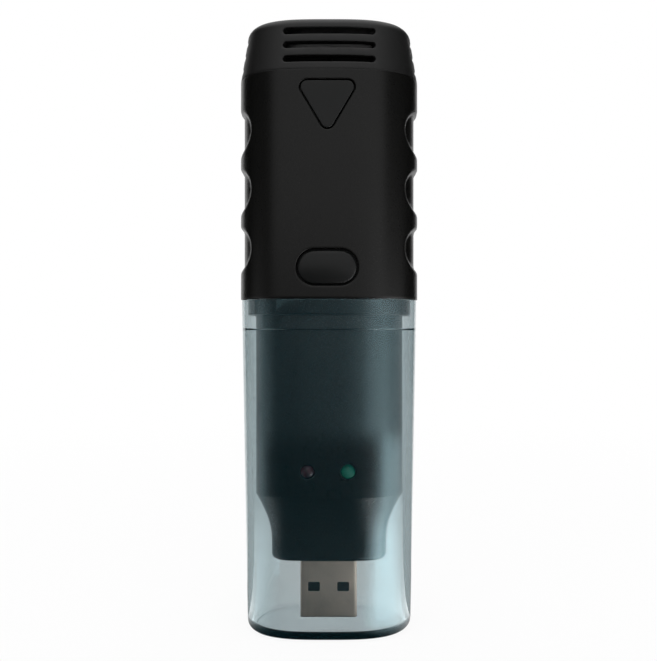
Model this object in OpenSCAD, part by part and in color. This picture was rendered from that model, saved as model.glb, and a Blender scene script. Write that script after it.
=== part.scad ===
// Stick-shaped temperature data logger, closed by a smoked clear push-on cap.
// It stands on the end of its cap. X runs to the right, the front faces -Y and Z is up.
// The origin lies under the middle of the cap. All sizes are millimetres.

/* [Grip] */
// Width of the grip across its sides
body_w = 38.3; // [37.5:0.1:44]
// Depth of the grip from front to back
body_d = 27.6; // [27:0.1:32]
// Height of the grip, from the cap to the vent head
grip_h = 46.6; // [46:0.1:60]
// Wall of the grip
wall_t = 1.8; // [1.5:0.05:2.1]
// Flatness of front and back seen from above: 2 is an ellipse, 4 is nearly straight
front_power = 3.3; // [2.8:0.05:3.6]
// Flatness of the sides seen from above
side_power = 2.2; // [2:0.05:2.6]
// Thickness of the shelf between grip and neck
shelf_t = 1.6; // [1.2:0.1:2]

/* [Finger pockets] */
// Number of finger pockets down each side
pocket_count = 3; // [1:1:3]
// Distance from one finger pocket to the next
pocket_pitch = 12.4; // [10.5:0.1:14]
// Height of a finger pocket
pocket_h = 9.2; // [6:0.1:10]
// Length of a finger pocket from front to back
pocket_span = 18.6; // [12:0.1:19]
// Depth of a finger pocket
pocket_depth = 0.8; // [0.4:0.05:1]
// Middle of the top finger pocket below the vent head
pocket_drop = 11.2; // [9:0.1:13]

/* [Vent head] */
// Height of the vent head
head_h = 11.1; // [11:0.1:16]
// How far each side of the head leans in towards its top
head_lean = 1.5; // [0.6:0.1:1.6]
// Radius of the head's top edge
head_edge_r = 2; // [0.3:0.1:2]
// Length of the head's skirt inside the grip
skirt_h = 2.4; // [1.5:0.1:2.6]
// Wall of that skirt
skirt_t = 1.2; // [0.8:0.1:1.4]
// Thickness of the head's roof
roof_t = 1.2; // [0.8:0.1:1.4]
// Rows of vent slots
slot_rows = 3; // [1:1:3]
// Distance from one row of slots to the next
slot_pitch = 3; // [2.6:0.05:3.1]
// Height of a vent slot
slot_h = 1.4; // [0.8:0.05:1.6]
// Length of the front and rear slots
slot_w = 19; // [10:0.1:22]
// How far their middle lies to the right of the head's middle
slot_aside = 0.35; // [0:0.05:0.5]
// Length of the side slots
side_slot_w = 10; // [5:0.1:12]
// Middle of the lowest slots above the foot of the head
slot_rise = 2.2; // [1.6:0.1:2.4]

/* [Neck] */
// How far the neck stands in from the grip all round
neck_inset = 3.15; // [2.9:0.05:3.6]
// Wall of the neck
neck_wall = 1.6; // [1.2:0.05:1.8]
// Height of the collar that the cap's mouth slides over
collar_h = 3.3; // [2:0.1:5]
// How far the sides of the neck's narrow end stand in from the neck
tip_inset = 3.7; // [2.6:0.1:3.8]
// How far its front and back stand in
tip_inset_d = 2.6; // [2:0.1:2.8]
// Flatness of its four sides seen from above
tip_power = 4.2; // [3:0.1:5]
// Height of the straight narrow end
tip_h = 3.8; // [3:0.1:5]
// Height of the taper above the narrow end
taper_h = 9.9; // [8:0.1:11]
// Radius of the narrow end's edge
tip_edge_r = 1; // [0.4:0.1:1.4]
// Thickness of the end wall that the plug passes through
tip_wall = 1.5; // [1:0.1:1.6]

/* [Clear cap] */
// Height of the cap, which is also the height of the seam
cap_h = 70.2; // [69:0.1:76]
// How far the cap's rim stands in from the grip all round
cap_inset = 0.2; // [0:0.05:0.4]
// How far each side of the cap leans in from the seam to its foot
cap_lean = 1.3; // [0.5:0.05:1.5]
// How far its front and back lean in
cap_lean_d = 0.9; // [0.5:0.05:1.2]
// Wall of the cap
cap_wall = 1.5; // [1.2:0.05:1.6]
// Thickness of the cap's end wall
cap_floor_t = 1.3; // [1:0.1:1.8]
// Depth of the wider mouth
mouth_h = 6.4; // [5.5:0.1:9]
// Wall of the mouth
mouth_wall = 1.2; // [1:0.05:1.3]
// Radius of the cap's bottom edge
cap_edge_r = 1.5; // [0.3:0.1:1.6]
// How far the cap travels until it is clear of the plug
cap_travel = 70; // [68:1:80]

/* [Keys] */
// Width of the start key's three-cornered window
start_key_w = 11.5; // [10:0.1:12]
// Height of that window
start_key_h = 10.2; // [9:0.1:11]
// Corner radius of that window
start_key_r = 1.6; // [0.8:0.05:2]
// Top of that window below the vent head
start_key_drop = 2.1; // [2.1:0.1:3]
// Width of the mark key's oval window
mark_key_w = 12.8; // [10:0.1:14]
// Height of the oval window
mark_key_h = 7.6; // [6.4:0.1:8]
// Middle of the oval window above the seam
mark_key_rise = 6.3; // [6:0.1:7]
// How far the oval key stands proud of the grip
mark_key_dome = 0.4; // [0.1:0.05:0.8]
// Radius of the oval key's crown from top to bottom
mark_crown_r = 10; // [8:0.5:20]
// Radius of the oval key's crown from side to side
mark_crown_long_r = 30; // [24:1:60]
// Gap round a key in its window
key_gap = 0.3; // [0.2:0.05:0.5]
// Width of the rim that holds a key behind its window
key_rim = 0.8; // [0.5:0.1:1]
// Thickness of that rim
key_rim_t = 1; // [0.8:0.1:1.4]
// Travel of a key
key_travel = 0.5; // [0.3:0.05:0.6]

/* [Switches] */
// Side of a switch body
switch_side = 6; // [5:0.1:6.2]
// Height of a switch body
switch_h = 3.5; // [3:0.1:3.8]
// Radius of a switch plunger
plunger_r = 1.7; // [1.2:0.05:2]

/* [Board] */
// Thickness of the main board
board_t = 1.2; // [0.8:0.1:1.6]
// Gap between the wide part of the board and the grip's inner wall
board_side_gap = 1.6; // [1.3:0.1:2.5]
// Gap between the board and the neck's inner wall
board_neck_gap = 1.9; // [1.6:0.1:3]
// Gap between the board and the inner wall of the neck's narrow end
board_tip_gap = 2.8; // [2.6:0.1:3.4]
// Width of the sensor tongue, which stands behind the slots
tongue_w = 21; // [12:0.1:24]
// Gap between the sensor tongue and the roof of the head
tongue_gap = 2; // [1:0.1:3]
// Gap between the board's ends and what they face
board_end_gap = 0.5; // [0.2:0.1:0.8]

/* [Screws] */
// Radius of a screw boss
boss_r = 2.8; // [2.6:0.1:3]
// Gap from the boss to the inner wall of the grip at its sides
boss_wall_gap = 0.9; // [0.6:0.1:1.2]
// Radius of a screw shank
screw_r = 1.1; // [0.8:0.05:1.2]
// Length of a screw below its head
screw_len = 10; // [9:0.1:11]
// Radius of a screw head
screw_head_r = 1.9; // [1.6:0.05:2]
// Height of a screw head
screw_head_h = 1.3; // [1:0.1:1.5]
// Thickness of the boss that a screw head clamps onto the board
screw_clamp = 6; // [4:0.1:7]
// Width of the cross cut in a screw head
cross_w = 0.5; // [0.3:0.05:0.7]
// Depth of that cross cut
cross_depth = 0.8; // [0.4:0.1:0.9]

/* [Battery] */
// Radius of the battery
cell_r = 7.25; // [6.8:0.05:7.4]
// Length of the battery with its button
cell_len = 25.2; // [22:0.1:25.6]
// Radius of the battery's button
cell_button_r = 2.5; // [2:0.1:3.5]
// Height of the battery's button
cell_button_h = 1; // [0.5:0.1:1.5]
// Middle of the battery behind the middle of the grip
cell_back = 1.2; // [0.6:0.1:1.6]
// Thickness of a battery contact
contact_t = 0.4; // [0.2:0.05:0.5]
// Width of a battery contact
contact_w = 8; // [5:0.1:10]
// Length of a battery contact's foot on the board
contact_foot = 2.6; // [2:0.1:3]
// Gap round the battery in the board's window
cell_gap = 0.4; // [0.2:0.05:0.6]
// Thickness of the ribs that carry battery and board
rib_t = 1.2; // [0.8:0.1:2]
// Width of those ribs
rib_w = 11; // [8:0.1:12]
// Where the battery's two ribs stand, as a share of its length from each end
rib_share = 0.25; // [0.15:0.01:0.4]

/* [Plug] */
// Width of the plug's shell
usb_w = 12; // [11.8:0.1:12.2]
// Thickness of the plug's shell
usb_t = 4.5; // [4.4:0.05:4.6]
// How far the plug stands in front of the middle
usb_forward = 3; // [0:0.1:3.2]
// Length of the plug outside the neck
usb_out = 12.2; // [11:0.1:12.4]
// Length of the plug inside the neck
usb_in = 6.8; // [5:0.1:8]
// Sheet thickness of the shell
usb_sheet = 0.3; // [0.25:0.05:0.4]
// Corner radius of the shell
usb_corner_r = 0.6; // [0.5:0.05:0.9]
// Width of a window in the shell
usb_window_w = 2.5; // [2:0.1:3]
// Length of a window in the shell
usb_window_h = 2; // [1.6:0.1:2.6]
// Distance between the middles of the two windows
usb_window_pitch = 6.2; // [5:0.1:7.4]
// Middle of the windows above the tip of the plug
usb_window_rise = 6.4; // [5:0.1:7]
// Thickness of the plug's tongue
usb_tongue_t = 1.9; // [1.6:0.05:2]
// Gap between tongue and tip of the shell
usb_tongue_back = 0.4; // [0.2:0.1:1]
// Width of a plug contact
usb_contact_w = 1; // [0.7:0.05:1.2]
// Length of a plug contact
usb_contact_len = 7.4; // [5:0.1:9]
// Height of a plug contact above the tongue
usb_contact_t = 0.15; // [0.1:0.05:0.3]
// Distance from one plug contact to the next
usb_contact_pitch = 2.3; // [2:0.05:2.5]
// Gap round the plug in the neck's end wall
usb_gap = 0.15; // [0.1:0.05:0.3]
// Height of the plug's tip above the inside of the cap
usb_cap_gap = 1.8; // [1:0.1:3]

/* [Lamps] */
// Radius of a lamp's lens
led_r = 1.5; // [1.2:0.05:1.6]
// Length of a lamp from its base to its tip
led_len = 5; // [4.4:0.1:5.4]
// Gap between the tip of a lamp and the inside of the cap
led_cap_gap = 0.4; // [0.3:0.05:0.6]
// Radius of a lamp's flange
led_flange_r = 1.9; // [1.7:0.05:2.1]
// Thickness of a lamp's flange
led_flange_t = 0.8; // [0.5:0.1:1]
// Distance between the two lamps
led_pitch = 8.4; // [6:0.1:12]
// Height of the lamps above the neck's taper
led_rise = 5.4; // [3:0.1:8]
// Gap round a lamp in the neck wall
led_gap = 0.1; // [0.05:0.05:0.2]
// Radius of a lamp's lead
lead_r = 0.25; // [0.2:0.05:0.3]
// Distance between the two leads of a lamp
lead_pitch = 1.9; // [1.5:0.1:2.54]

/* [Small electronics] */
// Side of the microcontroller
chip_side = 7; // [5:0.1:9]
// Thickness of the microcontroller
chip_t = 1.2; // [0.8:0.1:1.6]
// Leads on each side of the microcontroller
chip_leads = 8; // [4:1:10]
// Length of a chip lead
chip_lead_len = 1; // [0.6:0.1:1.2]
// Thickness of a chip lead
chip_lead_t = 0.2; // [0.15:0.05:0.3]
// Height of the microcontroller above the lamps
chip_rise = 13; // [12:0.1:15]
// Width of the memory chip
memory_w = 4; // [3:0.1:5]
// Length of the memory chip
memory_h = 5; // [4:0.1:6]
// Leads on each side of the memory chip
memory_leads = 4; // [2:1:5]
// Height of the memory chip above the microcontroller
memory_rise = 10; // [9.6:0.1:12]
// Radius of the crystal
crystal_r = 1; // [0.7:0.05:1.3]
// Length of the crystal
crystal_len = 6; // [4:0.1:7]
// Middle of the crystal beside the microcontroller
crystal_side = 8.4; // [7.6:0.1:9]
// Number of capacitors in a row
cap_count = 4; // [1:1:5]
// Width of a capacitor
cap_chip_w = 1.2; // [0.6:0.1:1.6]
// Length of a capacitor
cap_chip_len = 2; // [1:0.1:2.4]
// Distance from one capacitor to the next
cap_chip_pitch = 2.6; // [2.2:0.1:3]
// Radius of the temperature sensor's bead
bead_r = 1.2; // [0.8:0.05:1.5]
// Gap between the bead and the sensor tongue
bead_gap = 0.6; // [0.4:0.1:1.5]
// Length of the bead's leads along the tongue
bead_lead_len = 4.5; // [3:0.1:6]
// Radius of the bead's leads
bead_lead_r = 0.2; // [0.15:0.05:0.25]

/* [Fits] */
// Gap between the cap's mouth and the collar
cap_fit = 0.15; // [0.1:0.05:0.3]
// Gap between the cap's rim and the grip
seam_gap = 0.1; // [0.05:0.05:0.3]
// Gap between the head's skirt and the grip
skirt_fit = 0.15; // [0.1:0.05:0.25]
// Running gap of small sliding pieces
slide_fit = 0.05; // [0.05:0.01:0.1]
// Gap round a screw's shank
screw_fit = 0.02; // [0.01:0.01:0.05]
// Clearance left between pieces that only pass each other
pass_gap = 0.3; // [0.2:0.05:0.5]

/* [Back] */
// Width of the shallow bare panel on the back
panel_w = 18; // [10:0.5:19]
// Height of that panel
panel_h = 26; // [15:0.5:30]
// Depth of that panel
panel_depth = 0.3; // [0.2:0.05:0.6]
// Corner radius of that panel
panel_r = 2; // [1:0.1:4]

/* [Hidden] */

// Points round each outline, and how finely round pieces are drawn
outline_points = 96;
$fn = 48;
// Cuts run past the solids by this much
over = 1;

// Heights
crease_z = cap_h + grip_h;
top_z = crease_z + head_h;
usb_tip_z = cap_floor_t + usb_cap_gap;
tip_z = usb_tip_z + usb_out;
taper_z = tip_z + tip_h;
neck_z = taper_z + taper_h;
collar_z = cap_h - collar_h;
led_z = neck_z + led_rise;
chip_z = led_z + chip_rise;
memory_z = chip_z + memory_rise;
inside_z = cap_h + shelf_t;
skirt_z = crease_z - skirt_h;
low_boss_z = inside_z + boss_r;
high_boss_z = skirt_z - pass_gap - boss_r;
mark_key_z = cap_h + mark_key_rise;
start_key_top_z = crease_z - start_key_drop;
// The start key presses its switch near the middle of its area, which lies above its half height
start_switch_share = 0.43;
start_switch_z = start_key_top_z - start_key_h * start_switch_share;

// Sizes across
neck_w = body_w - 2 * neck_inset;
neck_d = body_d - 2 * neck_inset;
tip_w = neck_w - 2 * tip_inset;
tip_d = neck_d - 2 * tip_inset_d;
rim_w = body_w - 2 * cap_inset;
rim_d = body_d - 2 * cap_inset;
foot_w = rim_w - 2 * cap_lean;
foot_d = rim_d - 2 * cap_lean_d;
collar_w = rim_w - 2 * (mouth_wall + cap_fit);
collar_d = rim_d - 2 * (mouth_wall + cap_fit);
inside_w = body_w - 2 * wall_t;
inside_d = body_d - 2 * wall_t;
head_inside_w = inside_w - 2 * (skirt_fit + skirt_t);
head_inside_d = inside_d - 2 * (skirt_fit + skirt_t);
boss_x = inside_w / 2 - boss_wall_gap - boss_r;

// Depths, the front being negative
usb_y = -usb_forward;
board_front_y = usb_y + usb_t / 2;
board_back_y = board_front_y + board_t;
switch_y = board_front_y - switch_h;
plunger_tip_y = -(inside_d / 2 - slide_fit) + key_rim_t;
led_tip_y = -(cap_d(led_z) / 2 - cap_wall - led_cap_gap);
led_base_y = led_tip_y + led_len;
screw_seat_y = board_back_y + screw_clamp;

// The battery stands between its two contacts, midway between the two switches
cell_room = cell_len + 2 * contact_t;
cell_room_z = (mark_key_z + start_switch_z - cell_room) / 2;
cell_z = cell_room_z + contact_t;

// Size of the cap's outside at a height above its foot
function cap_w(z) = foot_w + (rim_w - foot_w) * z / cap_h;
function cap_d(z) = foot_d + (rim_d - foot_d) * z / cap_h;

function signed_power(v, p) = sign(v) * pow(abs(v), p);

// A rounded outline, w wide and d deep, from the grip's flatness at box 0 to the narrow end's at box 1
function outline(w, d, box = 0) = [
    let (
        px = front_power + (tip_power - front_power) * box,
        py = side_power + (tip_power - side_power) * box
    )
    for (i = [0 : outline_points - 1])
        let (a = 360 * i / outline_points)
        [w / 2 * signed_power(cos(a), 2 / px), d / 2 * signed_power(sin(a), 2 / py)]
];

// An upright prism of that outline between two heights
module prism(w, d, z_from, z_to) {
    translate([0, 0, z_from]) linear_extrude(z_to - z_from) polygon(outline(w, d));
}

// A solid skinned over rings, each given as height, width, depth and box, from the lowest up
module loft(rings) {
    n = outline_points;
    last = (len(rings) - 1) * n;
    points = [for (ring = rings) for (p = outline(ring[1], ring[2], ring[3])) [p[0], p[1], ring[0]]];
    sides = [
        for (k = [0 : len(rings) - 2], i = [0 : n - 1])
            let (j = (i + 1) % n)
            [k * n + i, (k + 1) * n + i, (k + 1) * n + j, k * n + j]
    ];
    lower = [for (i = [0 : n - 1]) i];
    upper = [for (i = [n - 1 : -1 : 0]) last + i];
    polyhedron(points, concat([lower], sides, [upper]), convexity = 4);
}

// Rings of a rounded lower edge that ends at full size at height z + r
function low_edge(z, w, d, r, box) = [
    for (a = [0 : 22.5 : 90])
        let (cut = 2 * r * (1 - sin(a)))
        [z + r * (1 - cos(a)), w - cut, d - cut, box]
];

// Rings of a rounded upper edge that starts at full size at height z - r
function high_edge(z, w, d, r) = [
    for (a = [0 : 22.5 : 90])
        let (cut = 2 * r * (1 - cos(a)))
        [z - r * (1 - sin(a)), w - cut, d - cut, 0]
];

// Rings of the neck's taper, which eases into the narrow end, set in by inset
function taper(inset) = [
    for (s = [0 : 0.2 : 1])
        let (share = 1 - s * s)
        [
            taper_z + taper_h * s,
            neck_w - 2 * (tip_inset * share + inset),
            neck_d - 2 * (tip_inset_d * share + inset),
            share
        ]
];

// Extrudes a shape drawn in X and Z between two depths
module along_y(y_from, y_to) {
    translate([0, y_to, 0]) rotate([90, 0, 0]) linear_extrude(y_to - y_from) children();
}

// Extrudes a shape drawn in Y and Z between two places across
module along_x(x_from, x_to) {
    translate([x_from, 0, 0]) rotate([90, 0, 90]) linear_extrude(x_to - x_from) children();
}

// A block given by its lowest and highest corners
module block(low, high) {
    translate(low) cube(high - low);
}

// A round bar along Y
module bar_y(x, z, r, y_from, y_to) {
    translate([x, y_to, z]) rotate([90, 0, 0]) cylinder(r = r, h = y_to - y_from);
}

// A flat oval with straight long sides
module oval(w, h) {
    square([w - h, h], center = true);
    for (side = [-1, 1]) translate([side * (w - h) / 2, 0]) circle(d = h);
}

// A flat rectangle with round corners
module round_rect(w, h, r) {
    square([w - 2 * r, h], center = true);
    square([w, h - 2 * r], center = true);
    for (x = [-1, 1], y = [-1, 1]) translate([x * (w / 2 - r), y * (h / 2 - r)]) circle(r = r);
}

// The start key's outline, grown or shrunk by grow, hanging from its window's top edge
module start_shape(grow) {
    hull() {
        for (side = [-1, 1])
            translate([side * (start_key_w / 2 - start_key_r), start_key_top_z - start_key_r])
                circle(r = start_key_r + grow, $fn = 32);
        translate([0, start_key_top_z - start_key_h + start_key_r])
            circle(r = start_key_r + grow, $fn = 32);
    }
}

// The mark key's outline, grown or shrunk by grow
module mark_shape(grow) {
    translate([0, mark_key_z]) oval(mark_key_w + 2 * grow, mark_key_h + 2 * grow);
}

// Cutters for the finger pockets down both sides
module pockets() {
    for (side = [0, 1], i = [0 : pocket_count - 1])
        mirror([side, 0, 0]) difference() {
            translate([0, 0, crease_z - pocket_drop - i * pocket_pitch])
                along_x(body_w / 4, body_w / 2 + over) polygon(outline(pocket_span, pocket_h));
            prism(body_w - 2 * pocket_depth, body_d - 2 * pocket_depth, cap_h, crease_z);
        }
}

// The four screw places, across and up
screw_places = [for (z = [low_boss_z, high_boss_z], side = [-1, 1]) [side * boss_x, z]];

// Bosses between two depths, kept inside the grip's wall
module bosses(y_from, y_to) {
    intersection() {
        for (p = screw_places) bar_y(p[0], p[1], boss_r, y_from, y_to);
        prism(inside_w + wall_t, inside_d + wall_t, cap_h, crease_z);
    }
}

// Grip, collar and neck as one closed shell, before it is parted
module whole_case() {
    difference() {
        union() {
            difference() {
                prism(body_w, body_d, cap_h, crease_z);
                pockets();
            }
            prism(collar_w, collar_d, collar_z, cap_h);
            loft(concat(
                low_edge(tip_z, tip_w, tip_d, tip_edge_r, 1),
                taper(0),
                [[collar_z, neck_w, neck_d, 0]]
            ));
        }
        prism(inside_w, inside_d, inside_z, crease_z + over);
        loft(concat(
            [[tip_z + tip_wall, tip_w - 2 * neck_wall, tip_d - 2 * neck_wall, 1]],
            taper(neck_wall),
            [[inside_z + over, neck_w - 2 * neck_wall, neck_d - 2 * neck_wall, 0]]
        ));
        block(
            [-usb_w / 2 - usb_gap, usb_y - usb_t / 2 - usb_gap, tip_z - over],
            [usb_w / 2 + usb_gap, usb_y + usb_t / 2 + usb_gap, tip_z + tip_wall + over]
        );
    }
}

module front_case() {
    color("#252724") difference() {
        union() {
            intersection() {
                whole_case();
                block([-body_w, -body_d, 0], [body_w, 0, top_z]);
            }
            bosses(-body_d, board_front_y);
        }
        along_y(-body_d, 0) start_shape(0);
        along_y(-body_d, 0) mark_shape(0);
        for (side = [-1, 1]) bar_y(side * led_pitch / 2, led_z, led_r + led_gap, -body_d, 0);
        for (p = screw_places)
            bar_y(p[0], p[1], screw_r + screw_fit, screw_seat_y - screw_len - pass_gap, over);
    }
}

// A rib that carries the battery from behind, hollowed to its round
module cell_rib(z) {
    difference() {
        intersection() {
            block([-rib_w / 2, cell_back, z - rib_t / 2], [rib_w / 2, body_d / 2, z + rib_t / 2]);
            prism(inside_w + wall_t, inside_d + wall_t, cap_h, crease_z);
        }
        translate([0, cell_back, z - rib_t]) cylinder(r = cell_r + slide_fit, h = 2 * rib_t);
    }
}

// A rib in the neck that the board rests on
module neck_rib(z) {
    intersection() {
        block([-rib_w / 2, board_back_y, z - rib_t / 2], [rib_w / 2, body_d / 2, z + rib_t / 2]);
        prism(neck_w - neck_wall, neck_d - neck_wall, neck_z, cap_h);
    }
}

// Cutter for the shallow bare panel on the back, whose floor follows the back's crown
module panel() {
    difference() {
        along_y(0, body_d / 2 + over)
            translate([0, (cap_h + crease_z) / 2]) round_rect(panel_w, panel_h, panel_r);
        prism(body_w - 2 * panel_depth, body_d - 2 * panel_depth, cap_h, crease_z);
    }
}

module rear_case() {
    color("#252724") difference() {
        union() {
            intersection() {
                whole_case();
                block([-body_w, 0, 0], [body_w, body_d, top_z]);
            }
            bosses(board_back_y, body_d);
            for (share = [rib_share, 1 - rib_share]) cell_rib(cell_z + cell_len * share);
            for (z = [led_z + rib_t, memory_z - rib_t]) neck_rib(z);
        }
        panel();
        for (p = screw_places) {
            bar_y(p[0], p[1], screw_r + screw_fit, board_back_y - over, body_d);
            bar_y(p[0], p[1], screw_head_r + screw_fit, screw_seat_y, body_d);
        }
    }
}

// The head's skirt leaves room for the rim of the start key
module start_rim_notch() {
    half = start_key_w / 2 + key_rim + pass_gap;
    low = skirt_z - over;
    translate([-half, low]) square([2 * half, start_key_top_z + key_rim + pass_gap - low]);
}

module vent_head() {
    lean_w = body_w - 2 * head_lean;
    lean_d = body_d - 2 * head_lean;
    color("#2a2b2a") difference() {
        union() {
            loft(concat([[crease_z, body_w, body_d, 0]], high_edge(top_z, lean_w, lean_d, head_edge_r)));
            prism(inside_w - 2 * skirt_fit, inside_d - 2 * skirt_fit, skirt_z, crease_z + over);
        }
        prism(head_inside_w, head_inside_d, skirt_z - over, top_z - roof_t);
        along_y(-body_d, 0) start_rim_notch();
        for (row = [0 : slot_rows - 1])
            translate([0, 0, crease_z + slot_rise + row * slot_pitch]) {
                along_y(-body_d, body_d) translate([slot_aside, 0]) oval(slot_w, slot_h);
                along_x(-body_w, body_w) oval(side_slot_w, slot_h);
            }
    }
}

module clear_cap() {
    rim_z = cap_h - seam_gap;
    mouth_z = cap_h - mouth_h;
    color("#7f979b", 0.5) difference() {
        loft(concat(
            low_edge(0, foot_w, foot_d, cap_edge_r, 0),
            [[rim_z, cap_w(rim_z), cap_d(rim_z), 0]]
        ));
        loft([
            for (z = [cap_floor_t, mouth_z + over])
                [z, cap_w(z) - 2 * cap_wall, cap_d(z) - 2 * cap_wall, 0]
        ]);
        prism(rim_w - 2 * mouth_wall, rim_d - 2 * mouth_wall, mouth_z, rim_z + over);
    }
}

// The rim that holds a key behind its window follows the grip's inner wall
module key_rim_space() {
    intersection() {
        prism(inside_w - 2 * slide_fit, inside_d - 2 * slide_fit, inside_z, crease_z);
        block([-body_w, -body_d, 0], [body_w, plunger_tip_y, top_z]);
    }
}

module start_key() {
    color("#262826") union() {
        intersection() {
            along_y(-body_d, plunger_tip_y) start_shape(-key_gap);
            prism(body_w, body_d, cap_h, crease_z);
        }
        intersection() {
            along_y(-body_d, plunger_tip_y) start_shape(key_rim);
            key_rim_space();
        }
    }
}

module mark_key() {
    crown_y = -body_d / 2 - mark_key_dome;
    color("#242627") union() {
        intersection() {
            along_y(-body_d, plunger_tip_y) mark_shape(-key_gap);
            translate([0, crown_y + mark_crown_r, mark_key_z]) rotate([0, 90, 0])
                cylinder(r = mark_crown_r, h = body_w, center = true, $fn = 128);
            translate([0, crown_y + mark_crown_long_r, 0])
                cylinder(r = mark_crown_long_r, h = top_z, $fn = 256);
        }
        intersection() {
            along_y(-body_d, plunger_tip_y) mark_shape(key_rim);
            key_rim_space();
        }
    }
}

// The plunger stands in a bore that leaves room for the key's travel
module plunger(z) {
    color("#1c1d1e") bar_y(0, z, plunger_r, plunger_tip_y, switch_y + plunger_r / 2);
}

module start_plunger() { plunger(start_switch_z); }
module mark_plunger() { plunger(mark_key_z); }

module switch(z) {
    half = switch_side / 2;
    bore_end_y = switch_y + plunger_r / 2 + key_travel + slide_fit;
    color("#3a3b3d") difference() {
        block([-half, switch_y, z - half], [half, board_front_y, z + half]);
        bar_y(0, z, plunger_r + slide_fit, switch_y - over, bore_end_y);
    }
}

module start_switch() { switch(start_switch_z); }
module mark_switch() { switch(mark_key_z); }

// The board narrows from the grip through the neck to the plug, and has a tongue for the sensor
module main_board() {
    wide = inside_w / 2 - board_side_gap;
    neck = neck_w / 2 - neck_wall - board_neck_gap;
    plug = tip_w / 2 - neck_wall - board_tip_gap;
    tongue = tongue_w / 2;
    grip_low = inside_z + board_end_gap;
    grip_high = skirt_z - board_end_gap;
    neck_low = neck_z + board_end_gap;
    plug_low = tip_z + tip_wall + board_end_gap;
    tongue_high = top_z - roof_t - tongue_gap;
    right_side = [
        [plug, plug_low], [plug, neck_low], [neck, neck_low], [neck, grip_low], [wide, grip_low],
        [wide, grip_high], [tongue, grip_high], [tongue, tongue_high]
    ];
    left_side = [for (k = [len(right_side) - 1 : -1 : 0]) [-right_side[k][0], right_side[k][1]]];
    color("#1a1d1c") difference() {
        along_y(board_front_y, board_back_y) polygon(concat(right_side, left_side));
        block(
            [-cell_r - cell_gap, -body_d, cell_room_z],
            [cell_r + cell_gap, body_d, cell_room_z + cell_room]
        );
        for (p = screw_places) bar_y(p[0], p[1], screw_r + screw_fit, -body_d, body_d);
    }
}

module battery() {
    color("#4f6f8f") translate([0, cell_back, cell_z]) {
        cylinder(r = cell_r, h = cell_len - cell_button_h);
        cylinder(r = cell_button_r, h = cell_len);
    }
}

// A contact plate with a foot soldered to the back of the board, drawn with its face at height zero
module battery_contact() {
    half = contact_w / 2;
    block([-half, board_back_y, -contact_t], [half, cell_back + cell_button_r, 0]);
    block([-half, board_back_y, -contact_foot], [half, board_back_y + contact_t, 0]);
}

module battery_minus_contact() {
    color("#b9bcbd") translate([0, 0, cell_z]) battery_contact();
}

module battery_plus_contact() {
    color("#b9bcbd") translate([0, 0, cell_z + cell_len]) mirror([0, 0, 1]) battery_contact();
}

usb_inside_w = usb_w - 2 * usb_sheet;
usb_inside_t = usb_t - 2 * usb_sheet;
usb_top_z = tip_z + usb_in;

module usb_shell() {
    color("#a8a29c") difference() {
        translate([0, usb_y, usb_tip_z]) linear_extrude(usb_out + usb_in)
            round_rect(usb_w, usb_t, usb_corner_r);
        translate([0, usb_y, usb_tip_z - over]) linear_extrude(usb_out + usb_in + 2 * over)
            round_rect(usb_inside_w, usb_inside_t, usb_corner_r - usb_sheet);
        for (side = [-1, 1])
            translate([side * usb_window_pitch / 2, usb_y, usb_tip_z + usb_window_rise])
                cube([usb_window_w, 2 * usb_t, usb_window_h], center = true);
    }
}

// The tongue lies along the front of the shell, and its contacts face the back
usb_front_y = usb_y - usb_inside_t / 2;
usb_face_y = usb_front_y + usb_tongue_t;

module usb_tongue() {
    half = usb_inside_w / 2 - usb_sheet;
    color("#1b1c1d") union() {
        block([-half, usb_front_y, usb_tip_z + usb_tongue_back], [half, usb_face_y, usb_top_z]);
        block([-half, usb_front_y, tip_z + tip_wall], [half, usb_front_y + usb_inside_t, usb_top_z]);
    }
}

module usb_contacts() {
    low = usb_tip_z + 2 * usb_tongue_back;
    color("#d8b45a") for (i = [-1.5 : 1 : 1.5])
        translate([i * usb_contact_pitch - usb_contact_w / 2, usb_face_y, low])
            cube([usb_contact_w, usb_contact_t, usb_contact_len]);
}

module led(side) {
    translate([side * led_pitch / 2, led_base_y, led_z]) rotate([90, 0, 0]) union() {
        cylinder(r = led_flange_r, h = led_flange_t);
        cylinder(r = led_r, h = led_len - led_r);
        translate([0, 0, led_len - led_r]) sphere(r = led_r);
    }
}

module red_led() { color("#a02418") led(-1); }
module green_led() { color("#1d9a5c") led(1); }

module led_leads() {
    color("#b9bcbd") for (side = [-1, 1], lead = [-1, 1])
        bar_y(side * led_pitch / 2 + lead * lead_pitch / 2, led_z, lead_r, led_base_y, board_front_y);
}

bead_y = board_front_y - bead_gap - bead_r;
bead_z = top_z - roof_t - tongue_gap - bead_r;

module temp_sensor() {
    color("#2b2320") translate([0, bead_y, bead_z]) sphere(r = bead_r);
}

// Two leads run down from the bead and turn back into the board
module sensor_leads() {
    low = bead_z - bead_lead_len;
    color("#2b2320") for (side = [-1, 1]) difference() {
        translate([side * bead_r / 2, bead_y, low]) {
            cylinder(r = bead_lead_r, h = bead_lead_len);
            sphere(r = bead_lead_r);
            rotate([-90, 0, 0]) cylinder(r = bead_lead_r, h = board_front_y - bead_y);
        }
        translate([0, bead_y, bead_z]) sphere(r = bead_r);
    }
}

// A flat chip on the front of the board
module chip(w, h, z) {
    color("#202123") block(
        [-w / 2, board_front_y - chip_t, z - h / 2],
        [w / 2, board_front_y - chip_lead_t, z + h / 2]
    );
}

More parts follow.
